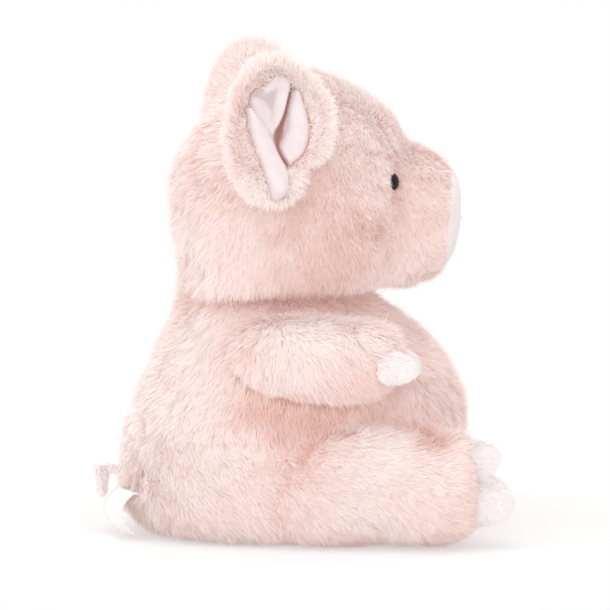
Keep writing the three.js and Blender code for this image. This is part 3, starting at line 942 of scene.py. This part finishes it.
@dataclass
class Fill:
    """Loose, lumpy stuffing inside one skin."""

    node: str
    body: str
    voxel: float = 4 * MM
    inset: float = 0.6 * MM
    lumps: float = 0.4 * MM

    def build(self) -> None:
        """Makes the stuffing in place of its CAD node."""
        form = SoftForm((self.node,), voxel=self.voxel, inset=self.inset, rounding=4, lumps=self.lumps)
        stand_in(form.build(self.node + "_fibre"), self.body, "stuffing", STUFFING, self.node, fill=0.8)


@dataclass
class Torso:
    """The seated body: its skin, its fur, its stuffing and the pellet bag."""

    inset: float = 3.2 * MM
    middle: float = 22 * MM  # half the width of the fur's middle piece
    seat: float = 2 * MM  # how high above the seat the fur starts
    beneath: float = 5.5 * MM  # the short fur stands where a limb is nearer than this

    def build(self) -> None:
        """Makes every piece of the torso."""
        skin = SoftForm(("torso_skin",), inset=self.inset, hollow=True).build("torso_backing")
        stand_in(skin, "torso", "fur", BACKING, "torso_skin", fill=0.75)
        limbs = [f"{limb}_{part}_{side.word}" for limb in ("arm", "leg") for part in ("skin", "fill") for side in Side]
        skins = [node for node in limbs if "skin" in node]
        covered = Inside(*limbs, "head_skin", "head_fill", margin=0.8 * MM)
        form = SoftForm(("torso_skin", *skins), inset=self.inset, hollow=True, rounding=26).build("torso_coat_form")
        # Painted shade where the limbs and the head meet the torso.
        crease = Creases({node: 0.22 for node in skins} | {"head_skin": 0.28})
        coat = Coat(FUR, "fur", flow=self.lay, tone=TORSO_TONE_AND_SHADING, crease=crease)
        for i, (word, elsewhere) in enumerate(parted(self.middle).items()):
            bare = any_of(elsewhere, covered, below(self.inset + self.seat))
            replace(coat, seed=20 + i).grow(f"torso_fur_{word}", "torso", form.data, bare)
        bpy.data.objects.remove(form)
        by_limb = Inside(*limbs, margin=self.beneath)
        short = replace(coat, length=6 * MM, width=0.7 * MM, spacing=0.8, lift=0.1, seed=26)
        short.grow("torso_fur_beneath", "torso", skin.data, lambda place: not by_limb(place))
        bag = SoftForm(("pellet_bag",), voxel=2 * MM, rounding=3, lumps=0.5 * MM, lump_size=5 * MM)
        stand_in(bag.build("pellet_bag_cloth"), "torso", "pellet_cloth", PELLET_CLOTH, "pellet_bag", fill=0.6)
        Fill("torso_fill", "torso").build()

    @staticmethod
    def lay(points: Array, normals: Array) -> Array:
        """Fur combed down, and forwards over the hips."""
        low = np.clip((70 * MM - points[:, 2]) / (40 * MM), 0, 1)
        behind = np.clip((20 * MM - points[:, 0]) / (40 * MM), 0, 1)
        ahead = low * behind
        return np.stack([-0.1 + 1.2 * ahead, np.zeros(len(points)), -1 + 0.6 * ahead], axis=1)


@dataclass
class Head:
    """The head: its skins, its fur, the nose pad and the stuffing, beside the ears that are there already."""

    ears: list[Ear]
    inset: float = 3.2 * MM
    middle: float = 20 * MM  # half the width of the fur's middle piece
    snout_from: float = 4 * MM  # how far in front of the snout's rear its own fur starts
    pad_gap: float = 1 * MM
    eye_room: float = 7 * MM  # how far from an eye's middle the fur starts
    nostril_aside: float = 9 * MM
    nostril_rise: float = 3 * MM
    nostril_width: float = 3 * MM
    nostril_height: float = 4.6 * MM
    nostril_depth: float = 1.5 * MM
    eyes: list[Vector] = field(init=False)

    def build(self) -> None:
        """Makes every piece of the head but the ears."""
        self.eyes = [middle_of(f"eye_{side.word}") for side in Side]
        skins = ("head_skin", "snout_skin", "nose_pad")
        backs, linings = (tuple(f"ear_{part}_{side.word}" for side in Side) for part in ("back", "lining"))
        shape = SoftForm(skins, inset=self.inset, hollow=True, rounding=14, share=self.draw)
        stand_in(shape.build("head_backing"), "head", "fur", BACKING, "head_skin", "snout_skin", fill=0.75)
        form = replace(shape, nodes=(*skins, *backs), rounding=22, whole=backs).build("head_coat_form")
        for ear in self.ears:
            ear.close(form, reach=50)
        covered = Inside("torso_skin", "torso_fill", *(ear.tree for ear in self.ears), *linings, margin=0.8 * MM)
        pad = surface("nose_pad")
        bare = any_of(self.near_eye, lambda place: pad.find_nearest(place)[3] < self.pad_gap, covered)
        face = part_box("snout_skin")[0].x + self.snout_from
        parts = {
            f"head_fur_{word}": any_of(elsewhere, lambda place: place.x > face)
            for word, elsewhere in parted(self.middle).items()
        }
        parts["snout_fur"] = lambda place: place.x < face
        # Painted shade where the head meets the torso and the ears.
        crease = Creases({"torso_skin": 0.22} | dict.fromkeys(backs, 0.12))
        coat = Coat(FUR, "fur", flow=self.lay, tone=HEAD_TONE_AND_SHADING, crease=crease, stand=HEAD_STAND, trim=self.trim)
        for i, (name, elsewhere) in enumerate(parts.items()):
            replace(coat, seed=40 + i).grow(name, "head", form.data, any_of(elsewhere, bare))
        bpy.data.objects.remove(form)
        Fill("head_fill", "head").build()
        self.snout()

    def near_eye(self, place: Vector) -> bool:
        """Whether a place is in the room left round an eye."""
        return any((place - eye).length < self.eye_room for eye in self.eyes)

    @staticmethod
    def lay(points: Array, normals: Array) -> Array:
        """Fur combed down the cheeks, back over the crown, and apart along the top of the snout."""
        x, y, z = points.T
        crown = np.clip((z - 185 * MM) / (40 * MM), 0, 1)
        snout = np.clip((x - 35 * MM) / (20 * MM), 0, 1)
        edge = np.clip((x - 58 * MM) / (10 * MM), 0, 1)
        apart = np.clip(y / (8 * MM), -1, 1)
        ahead = -0.25 - 0.7 * crown + 0.45 * snout + 0.9 * edge
        return np.stack([ahead, 0.7 * apart * snout, crown * 0.3 - 1 + 0.3 * snout], axis=1)

    def from_eye(self, points: Array) -> Array:
        """How far places lie from the nearer eye."""
        return np.min([np.linalg.norm(points - np.array(eye), axis=1) for eye in self.eyes], axis=0)

    def trim(self, points: Array, normals: Array) -> Array:
        """Shorter pile on the face than at the back, longest at the chin and the nape, clipped round the eyes."""
        x, _, z = points.T / MM
        hang = 0.5 * np.exp(-(((z - 133) / 8) ** 2)) * np.clip((x - 10) / 20, 0, 1) * np.clip((70 - x) / 10, 0, 1)
        clipped = 0.35 + 0.65 * np.clip((self.from_eye(points) / self.eye_room - 0.9) / 1.1, 0, 1)
        nape = 0.7 * np.exp(-(((z - 129) / 7) ** 2)) * np.clip((-18 - x) / 18, 0, 1)
        return (1 - 0.45 * np.clip(x / 55, 0, 1) + hang + nape) * clipped

    def draw(self, points: Array, normals: Array) -> Array:
        """Less room for the shorter pile on the face, and a dimple round each eye."""
        dimple = np.exp(-((self.from_eye(points) / self.eye_room) ** 4))
        return 1 - 0.8 * np.clip(points[:, 0] / (60 * MM), 0, 1) + 1.1 * dimple

    def snout(self) -> None:
        """The snout's velour pad."""
        pad = SoftForm(("nose_pad",), voxel=1.2 * MM, rounding=5, hollow=True).build("nose_pad_velour")
        self.nostrils(pad)
        stand_in(pad, "head", "velour", VELOUR, "nose_pad", fill=0.8)

    def nostrils(self, pad: bpy.types.Object) -> None:
        """Draws in the two stitched nostrils and paints shade into them."""
        points, normals = surface_points(pad.data)
        off = np.hypot(
            (np.abs(points[:, 1]) - self.nostril_aside) / self.nostril_width,
            (points[:, 2] - middle_of("nose_pad").z - self.nostril_rise) / self.nostril_height,
        )
        facing = normals[:, 0] > 0.3
        hole = np.clip(1.6 - off, 0, 1) ** 2 * facing
        points -= normals * (hole * self.nostril_depth)[:, None]
        move_corners(pad, points)
        # Painted shade in the nostrils' dimples.
        layer = pad.data.attributes.new(FOLD_SHADE, "FLOAT", "POINT")
        layer.data.foreach_set("value", (np.clip(1.25 - off, 0, 0.3) / 0.3 * facing).astype(np.float32))


@dataclass
class Eye:
    """A polished eye, finer than its CAD node, and the washer that holds it."""

    side: Side
    sharp: float = math.radians(38)  # an edge that turns further stays sharp

    def build(self) -> None:
        """Makes the eye and finishes the washer."""
        node = f"eye_{self.side.word}"
        work = SoftForm((node,)).copy()
        crease = work.edges.layers.float.new("crease_edge")
        for edge in work.edges:
            edge[crease] = 0.9 if edge.calc_face_angle(0) > self.sharp else 0
        piece = mesh_object(f"eye_polished_{self.side.word}", work)
        with_modifiers(piece, ("SUBSURF", {"levels": 2, "render_levels": 2}))
        dress(piece, "head", EYE_BLACK)
        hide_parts(node)
        paint(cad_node(f"eye_washer_{self.side.word}"), WASHER_WHITE)


@dataclass(frozen=True)
class Lobe:
    """A padded fold of the ear's lining, along a bent spine.

    Attributes:
        spine: Places along it: how far in front of the ear's middle, how far above, and half the width, in mm.
        height: How far it swells, in mm.
    """

    spine: tuple[tuple[float, float, float], ...]
    height: float

    def curve(self) -> Array:
        """The spine as many places along a smooth line through its own."""
        knots = np.array(self.spine)
        knots = np.vstack([2 * knots[0] - knots[1], knots, 2 * knots[-1] - knots[-2]])
        places = []
        for a, b, c, d in zip(knots, knots[1:], knots[2:], knots[3:]):
            slope, bend, turn = c - a, 2 * a - 5 * b + 4 * c - d, 3 * b - a - 3 * c + d
            places += [b + slope * t / 2 + bend * t**2 / 2 + turn * t**3 / 2 for t in (0, 0.2, 0.4, 0.6, 0.8)]
        return np.array([*places, knots[-2]])

    def swell(self, front: Array, above: Array, margin: float = 0.0) -> Array:
        """Its height over each place, 0 outside it, with its edge moved out by a margin in mm."""
        most = np.zeros_like(front)
        line = self.curve()
        for (a, b, w), (c, d, v) in zip(line, line[1:]):
            way = (c - a, d - b)
            share = ((front - a) * way[0] + (above - b) * way[1]) / (way[0] ** 2 + way[1] ** 2)
            share = np.clip(share, 0, 1)
            off = np.hypot(front - a - share * way[0], above - b - share * way[1])
            most = np.maximum(most, 1 - (off / (w + (v - w) * share + margin)) ** 2)
        return np.sqrt(most) * self.height


LOBES = (
    Lobe(((-18, 13, 2.0), (-13.5, 3, 4.8), (-9.7, -8, 5.8), (-6.5, -18, 6.3), (-6.3, -26, 4.8)), 4.8),
    Lobe(((6.7, 21, 1.8), (6.9, 12, 4.6), (6.7, 3, 5.6), (3.8, -4.5, 6.0), (0.5, -10.5, 3.2)), 4.6),
    Lobe(((-8, 23.5, 2.6), (-3, 26.5, 4), (0.8, 24, 4.6), (-1, 16, 4.4), (-3, 8, 2.8), (-4, 3, 1.6)), 4.4),
    Lobe(((-14.5, 18, 2.8), (-11, 14, 5.2), (-7, 7, 4.2), (-4, 1, 2)), 2.6),
    Lobe(((-10, 18, 7), (-5, 8, 8), (-2, -2, 6), (-3, -12, 4)), 0.8),
)
SLIT = Lobe(
    ((4.6, 26, 0.8), (2.7, 18, 1.0), (0.8, 11, 1.2), (-1.2, 6, 1.8))
    + ((-2.8, 2, 2.8), (-3.8, -3, 1.6), (-2.4, -9, 1), (0, -14, 0.8)),
    1.0,
)


@dataclass
class Ear:
    """A cupped ear of fur with a folded velour lining."""

    side: Side
    cell: float = 0.55  # of the lining's mesh, in mm
    wall: float = 1.0 * MM
    hem: float = 0.9  # how far the lining goes on past its folds, in mm
    skirt: float = 1.4  # how deep it dips there, in mm
    gap: float = 0.3  # from the back to the lining, in mm
    reach: tuple[float, float] = (22.0, 36.0)  # half the lining's width and height at most, in mm
    # Where the rim is drawn in: degrees round it, degrees wide, and how far in mm.
    drawn: tuple[tuple[float, float, float], ...] = ((-56, 30, 19), (-6, 34, 11))
    middle: Array = field(init=False)
    out: Array = field(init=False)
    up: Array = field(init=False)
    front: Array = field(init=False)
    tree: BVHTree = field(init=False)

    def build(self) -> None:
        """Makes the ear's back, its lining and its fur."""
        word, body = self.side.word, f"ear_{self.side.word}"
        nodes = (f"ear_back_{word}", f"ear_lining_{word}")
        self.find_axes(nodes[1])
        back = SoftForm(nodes, voxel=2 * MM, inset=1.8 * MM, rounding=7).build(f"ear_backing_{word}")
        self.close(back, reach=70)
        self.fill_cup(back)
        stand_in(back, body, "fur", BACKING, nodes[0], fill=0.5)
        lining = self.lining(f"ear_velour_{word}", back)
        stand_in(lining, body, "velour", LINING, nodes[1], fill=0.3)
        graph = bpy.context.evaluated_depsgraph_get()
        self.tree, over = (BVHTree.FromObject(piece, graph) for piece in (back, lining))
        coat = Coat(
            FUR,
            "fur",
            length=7.5 * MM,
            flow=self.lay,
            tone=EAR_TONE,
            seed=80 + self.side.value,
            # Painted shade where the ear meets the head.
            crease=Creases({"head_skin": 0.2}, reach=4 * MM),
            stand=self.fringe,
            unrest=0.28,
        )
        bare = any_of(Inside("head_skin", "head_fill"), lambda place: self.lined(place, over))
        coat.grow(f"ear_fur_{word}", body, back.data, bare)

    def find_axes(self, node: str) -> None:
        """Finds the lining's middle, the way it faces, its way up and its way to the front."""
        points, _ = surface_points(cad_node(node).data)
        self.middle = (points.max(axis=0) + points.min(axis=0)) / 2
        ways = np.linalg.svd(points - points.mean(axis=0), full_matrices=False)[2]
        self.out = ways[2] * np.sign(ways[2][1] * self.side.value)
        up = np.array((0, 0, 1.0))
        self.up = unit((up - self.out * (up @ self.out))[None])[0]
        front = np.cross(self.up, self.out)
        self.front = front * np.sign(front[0])

    def local(self, points: Array) -> tuple[Array, Array, Array]:
        """Places as millimetres in front of the lining's middle, above it and out from it."""
        off = (points - self.middle) / MM
        return off @ self.front, off @ self.up, off @ self.out

    def close(self, piece: bpy.types.Object, reach: float) -> None:
        """Draws a piece in where the ear's rim closes against the head, low at the front.

        Args:
            piece: The ear's own back, or the form of the head round it.
            reach: How far from the ear's middle it is drawn in, in mm.
        """
        points, _ = surface_points(piece.data)
        front, above, out = self.local(points)
        near = np.clip((out + 24) / 10, 0, 1) * np.clip((reach - np.hypot(front, above)) / 10, 0, 1)
        points -= (self.pull(points) * near * MM)[:, None] * self.round(points)
        move_corners(piece, points)

    def fill_cup(self, back: bpy.types.Object) -> None:
        """Raises the cup's floor, which the lining's padding fills."""
        points, normals = surface_points(back.data)
        front, above, out = self.local(points)
        facing = np.clip(normals @ self.out / 0.4, 0, 1) * np.clip((28 - np.hypot(front, above * 0.75)) / 9, 0, 1)
        level = np.percentile(out[facing > 0.5], 95)
        points += self.out * (0.6 * np.clip(level - out, 0, 12) * facing * MM)[:, None]
        move_corners(back, points)

    def pull(self, points: Array) -> Array:
        """How far places near the rim are drawn in, in mm."""
        front, above, _ = self.local(points)
        turn = np.degrees(np.arctan2(above, front))
        total = sum(depth * np.exp(-(((turn - middle) / spread) ** 2)) for middle, spread, depth in self.drawn)
        return total * np.clip((np.hypot(front, above) - 10) / 25, 0, 1)

    def round(self, points: Array) -> Array:
        """The ways from the ear's middle out to its rim."""
        front, above, _ = self.local(points)
        return unit(front[:, None] * self.front + above[:, None] * self.up)

    def lined(self, place: Vector, lining: BVHTree) -> bool:
        """Whether the lining covers a place, with nothing of the ear's own wall between."""
        out = Vector(self.out)
        over, wall = (tree.ray_cast(place + out * 0.3 * MM, out, 12 * MM)[3] for tree in (lining, self.tree))
        return over is not None and (wall is None or over < wall)

    def lay(self, points: Array, normals: Array) -> Array:
        """Fur combed out from the ear's opening, and down where it closes."""
        low = np.clip(self.pull(points) / 9, 0, 1)[:, None]
        return self.round(points) * (1 - low) + (self.front * 0.1 - self.up) * low + np.array((0, 0, 0.1))

    def fringe(self, points: Array, normals: Array) -> Array:
        """Strands that stand up round the lining."""
        front, above, out = self.local(points)
        return 0.35 * np.exp(-(((np.hypot(front / 17, above / 30) - 1) / 0.22) ** 2)) * (out > -6)

    def lining(self, name: str, back: bpy.types.Object) -> bpy.types.Object:
        """The velour's folds over the cup of the ear, with painted shade where a place lies low between its folds or
        in the slit.
        """
        work = bmesh.new()
        wide, high = self.reach
        counts = (int(2 * wide / self.cell), int(2 * high / self.cell))
        layer = work.verts.layers.float.new(FOLD_SHADE)
        bmesh.ops.create_grid(work, x_segments=counts[0], y_segments=counts[1], size=1.0)
        bmesh.ops.scale(work, verts=work.verts, vec=(wide, high, 1))
        flat = np.array([v.co for v in work.verts])
        swells = np.stack([lobe.swell(flat[:, 0], flat[:, 1]) for lobe in LOBES])
        slit = SLIT.swell(flat[:, 0], flat[:, 1])
        height = swells.max(axis=0)
        height = np.where(height > 0, np.maximum(height - 4 * slit, 0.8), -self.skirt)
        kept = np.max([lobe.swell(flat[:, 0], flat[:, 1], self.hem) for lobe in LOBES], axis=0) > 0
        tree = BVHTree.FromObject(back, bpy.context.evaluated_depsgraph_get())
        start = self.middle + (flat[:, :1] * self.front + flat[:, 1:2] * self.up + 40 * self.out) * MM
        cup = np.array([self.depth(tree, Vector(s)) for s in start])
        for _ in range(3):
            cup = self.evened(work, cup)
        for corner, spot, rise, depth in zip(work.verts, start, height, cup):
            corner.co = Vector(spot - self.out * (depth - (rise + self.gap) * MM))
        work.verts.index_update()
        off = [v for v in work.verts if not kept[v.index]]
        # Painted shade: darker where the lining lies low between the lobes, darkest along the slit.
        recess_shade = np.maximum(0.35 * np.clip(1 - height / 3, 0, 1), slit**0.6)
        for corner in work.verts:
            corner[layer] = recess_shade[corner.index]
        bmesh.ops.delete(work, geom=off, context="VERTS")
        bmesh.ops.smooth_vert(work, verts=work.verts, factor=0.5, use_axis_x=True, use_axis_y=True, use_axis_z=True)
        self.face_out(work)
        bmesh.ops.solidify(work, geom=list(work.faces), thickness=self.wall)
        bmesh.ops.recalc_face_normals(work, faces=work.faces)
        return mesh_object(name, work)

    def depth(self, tree: BVHTree, start: Vector) -> float:
        """How far in from a place the ear's cup lies."""
        hit = tree.ray_cast(start, Vector(-self.out))
        return hit[3] if hit[0] is not None else 45 * MM

    @staticmethod
    def evened(work: bmesh.types.BMesh, values: Array) -> Array:
        """Values on corners, each drawn to the mean of its neighbours."""
        return np.array([np.mean([values[e.other_vert(v).index] for e in v.link_edges]) for v in work.verts])

    def face_out(self, work: bmesh.types.BMesh) -> None:
        """Turns the faces outwards."""
        work.normal_update()
        out = Vector(self.out)
        bmesh.ops.reverse_faces(work, faces=[f for f in work.faces if f.normal.dot(out) < 0])


@dataclass
class Limb:
    """An arm or a leg: its skin, its fur, its stuffing and its trotter.

    Attributes:
        kind: Its word in the names of nodes and pieces.
        trotter: The trotter's.
        whorl: Where the combing starts, on the left, in mm.
        way: The way that it leans, on the left.
        shape: What share of the inset its skin has.
        ended: How much more of it the trotter's front has.
        tone: How deep its fur's colour is.
        seed: Where its random draws start.
        side: Its side.
        length: Its fur's length.
        inset: How far its skin is drawn in under the fur.
        seat: The height at which the fur starts.
    """

    kind: str
    trotter: str
    whorl: Colour
    way: Colour
    shape: Tone
    ended: float
    tone: Tone
    seed: int
    side: Side = Side.LEFT
    length: float = 8 * MM
    inset: float = 2.8 * MM
    seat: float = 3 * MM

    def build(self) -> None:
        """Makes every piece of the limb."""
        word, body = self.side.word, f"{self.kind}_{self.side.word}"
        node, trotter = f"{self.kind}_skin_{word}", f"{self.trotter}_{word}"
        form = SoftForm((node,), voxel=2.5 * MM, inset=self.inset, hollow=True, share=self.shape)
        skin = form.build(f"{self.kind}_backing_{word}")
        stand_in(skin, body, "fur", BACKING, node, fill=0.7)
        coat = Coat(
            FUR,
            "fur",
            length=self.length,
            flow=self.lay,
            tone=self.tone,
            stand=self.fringe,
            # Painted shade where the limb meets the torso.
            crease=Creases({"torso_skin": 0.2}, reach=5 * MM),
            seed=self.seed + self.side.value,
        )
        bare = any_of(Inside("torso_skin", "torso_fill"), Inside(trotter), below(self.seat))
        coat.grow(f"{self.kind}_fur_{word}", body, skin.data, bare)
        Fill(f"{self.kind}_fill_{word}", body).build()
        toes = SoftForm((trotter,), voxel=1.5 * MM, inset=2 * MM, rounding=5, share=self.tips)
        pad = toes.build(f"{self.trotter}_toes_{word}")
        stand_in(pad, body, "trotter_plush", WHITE_BACKING, trotter, fill=0.85)
        pile = Coat(
            WHITE_PLUSH,
            "trotter_plush",
            length=2.6 * MM,
            width=0.32 * MM,
            spacing=0.12,
            lift=0.4,
            tuft=2.5 * MM,
            gather=0.1,
            unrest=0.2,
            sag=0.0,
            flow=combed((0.6, 0, -0.8)),
            tone=spots(0.15),
            # Painted shade where the trotter meets the limb's skin.
            crease=Creases({node: 0.4}, reach=3 * MM),
            seed=self.seed + 7,
        )
        pile.grow(f"{self.trotter}_plush_{word}", body, pad.data, any_of())

    def tips(self, points: Array, normals: Array) -> Array:
        """What share of the inset the trotter has."""
        return 1 + self.ended * np.clip(normals[:, 0], 0, 1)

    def fringe(self, points: Array, normals: Array) -> Array:
        """Strands that stand out over the trotter at the limb's end."""
        return 0.3 * np.clip(normals[:, 0] - 0.3, 0, 0.7) / 0.7

    def lay(self, points: Array, normals: Array) -> Array:
        """Fur combed out from the whorl at the root and along the limb."""
        mirror = (1, self.side.value, 1)
        out = unit(points - np.array(self.whorl) * MM * mirror)
        return out * 0.8 + np.array(self.way) * mirror


ARM = Limb("arm", "hand_trotter", (-12, 48, 120), (0.15, 0.0, -0.1), ARM_SHAPE, 1.6, ARM_TONE_AND_SHADING, 100)
LEG = Limb("leg", "foot_trotter", (-12, 44, 34), (0.5, 0.0, -0.3), LEG_SHAPE, -0.6, LEG_TONE_AND_SHADING, 120)


@dataclass
class Rear:
    """The curled tail and the blank label below it."""

    wave: float = 1.6 * MM  # of the label

    def build(self) -> None:
        """Makes the tail and the label."""
        tail = SoftForm(("tail",), voxel=0.7 * MM, inset=0.7 * MM, rounding=3).build("tail_velour")
        stand_in(tail, "tail", "velour", VELOUR, "tail", fill=0.8)
        nap = Coat(WHITE_PLUSH, "velour", 2.6 * MM, 0.25 * MM, 0.08, 0.5, 2 * MM, seed=140, tone=spots(0.6))
        nap.grow("tail_nap", "tail", tail.data, any_of())
        label = mesh_object("label_strip", SoftForm(("seam_label",)).copy())
        with_modifiers(label, ("SUBSURF", {"subdivision_type": "SIMPLE", "levels": 3, "render_levels": 3}))
        points, _ = surface_points(label.data)
        low, high = points.min(axis=0), points.max(axis=0)
        down = (high[2] - points[:, 2]) / (high[2] - low[2])
        across = (points[:, 1] - low[1]) / (high[1] - low[1])
        points[:, 0] += self.wave * down * np.sin(across * 5 + down * 2)
        move_corners(label, points)
        dress(label, "torso", SATIN)
        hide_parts("seam_label")


LAMPS = {  # each lamp's place, its width in metres and its power in watts
    "lamp_above": ((0.0, -0.3, 1.6), 1.6, 9.0),
    "lamp_right": ((-0.2, -1.7, 0.7), 1.5, 6.5),
    "lamp_left": ((0.2, 1.7, 0.7), 1.5, 6.0),
    "lamp_back": ((-1.5, -0.3, 0.7), 1.4, 5.0),
}


@dataclass
class Studio:
    """The plain pale studio and the camera at the photograph's viewing angle."""

    azimuth: float = math.radians(-5.0)
    elevation: float = math.radians(6.5)
    distance: float = 2.5
    aside: float = 4.5 * MM
    above: float = 111.5 * MM
    view_width: float = 305 * MM
    sensor: float = 36.0
    air: tuple[float, float, float, float] = (1, 0.985, 0.975, 1)
    air_strength: float = 0.72
    shadow_from: float = 0.12  # how far from the middle the floor's shadow starts to fade
    shadow_to: float = 0.26
    lit: float = 0.45  # how much of the floor's own light shows in the shadow

    def build(self) -> None:
        """Makes the camera, the floor, the lamps and the world."""
        self.camera()
        self.floor()
        for name, lamp in LAMPS.items():
            self.lamp(name, *lamp)
        self.world()
        bpy.context.scene.view_settings.view_transform = "Standard"

    def camera(self) -> None:
        """The camera."""
        a, e = self.azimuth, self.elevation
        back = Vector((math.sin(a) * math.cos(e), -math.cos(a) * math.cos(e), math.sin(e)))
        right = Vector((math.cos(a), math.sin(a), 0))
        up = back.cross(right)
        data = bpy.data.cameras.new("camera")
        data.sensor_width = self.sensor
        data.lens = self.sensor * self.distance / self.view_width
        data.clip_end = 20
        camera = add_object("camera", data)
        camera.location = back * self.distance + right * self.aside + up * self.above
        camera.rotation_euler = Matrix((right, up, back)).transposed().to_euler()
        bpy.context.scene.camera = camera

    def lamp(self, name: str, place: Colour, size: float, power: float) -> None:
        """A large soft lamp that faces the pig."""
        data = bpy.data.lights.new(name, "AREA")
        data.shape = "DISK"
        data.size = size
        data.energy = power
        lamp = add_object(name, data)
        lamp.location = place
        lamp.rotation_euler = (Vector(place) - Vector((0, 0, 0.1))).to_track_quat("Z", "Y").to_euler()

    def world(self) -> None:
        """An even world that shows as white."""
        bench = Bench("studio", world=True)
        air = bench.node("ShaderNodeBackground", {}, {"Color": self.air, "Strength": self.air_strength})
        white = bench.node("ShaderNodeBackground", {}, {"Color": WHITE})
        mixed = bench.node("ShaderNodeMixShader", {}, {0: bench.lens_share(), 1: air.outputs[0], 2: white.outputs[0]})
        bench.node("ShaderNodeOutputWorld", {}, {"Surface": mixed.outputs[0]})
        bpy.context.scene.world = bench.owner

    def floor(self) -> None:
        """A white floor that keeps the pig's shadow."""
        work = bmesh.new()
        bmesh.ops.create_circle(work, cap_ends=True, segments=96, radius=6)
        floor = mesh_object("floor", work)
        bench = Bench("studio_floor")
        x, y, _ = bench.axes(bench.place())
        share = (x * x + y * y).root().step(self.shadow_from, self.shadow_to)
        bench.set(Base_Color=(0.97, 0.97, 0.97), Roughness=0.9, Specular_IOR_Level=0.0)
        white = bench.node("ShaderNodeEmission", {}, {"Color": WHITE, "Strength": 1.0})
        lens = bench.lens_share() * (share * (1 - self.lit) + self.lit)
        mixed = bench.node("ShaderNodeMixShader", {}, {0: lens, 1: bench.shader.outputs[0], 2: white.outputs[0]})
        bench.feed(bench.end.inputs["Surface"], mixed.outputs[0])
        floor.data.materials.append(bench.owner)


def corners(box: tuple[Vector, Vector]) -> list[list[float]]:
    """A box's two corners as plain numbers."""
    return [list(corner) for corner in box]


def main() -> None:
    """Builds the pig and its studio."""
    logging.basicConfig(level=logging.INFO, format="%(message)s")
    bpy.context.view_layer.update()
    Studio().build()
    Torso().build()
    ears = [Ear(side) for side in Side]
    for ear in ears:
        ear.build()
    Head(ears).build()
    for side in Side:
        Eye(side).build()
        for limb in (ARM, LEG):
            replace(limb, side=side).build()
    Rear().build()


if __name__ == "__main__":
    main()
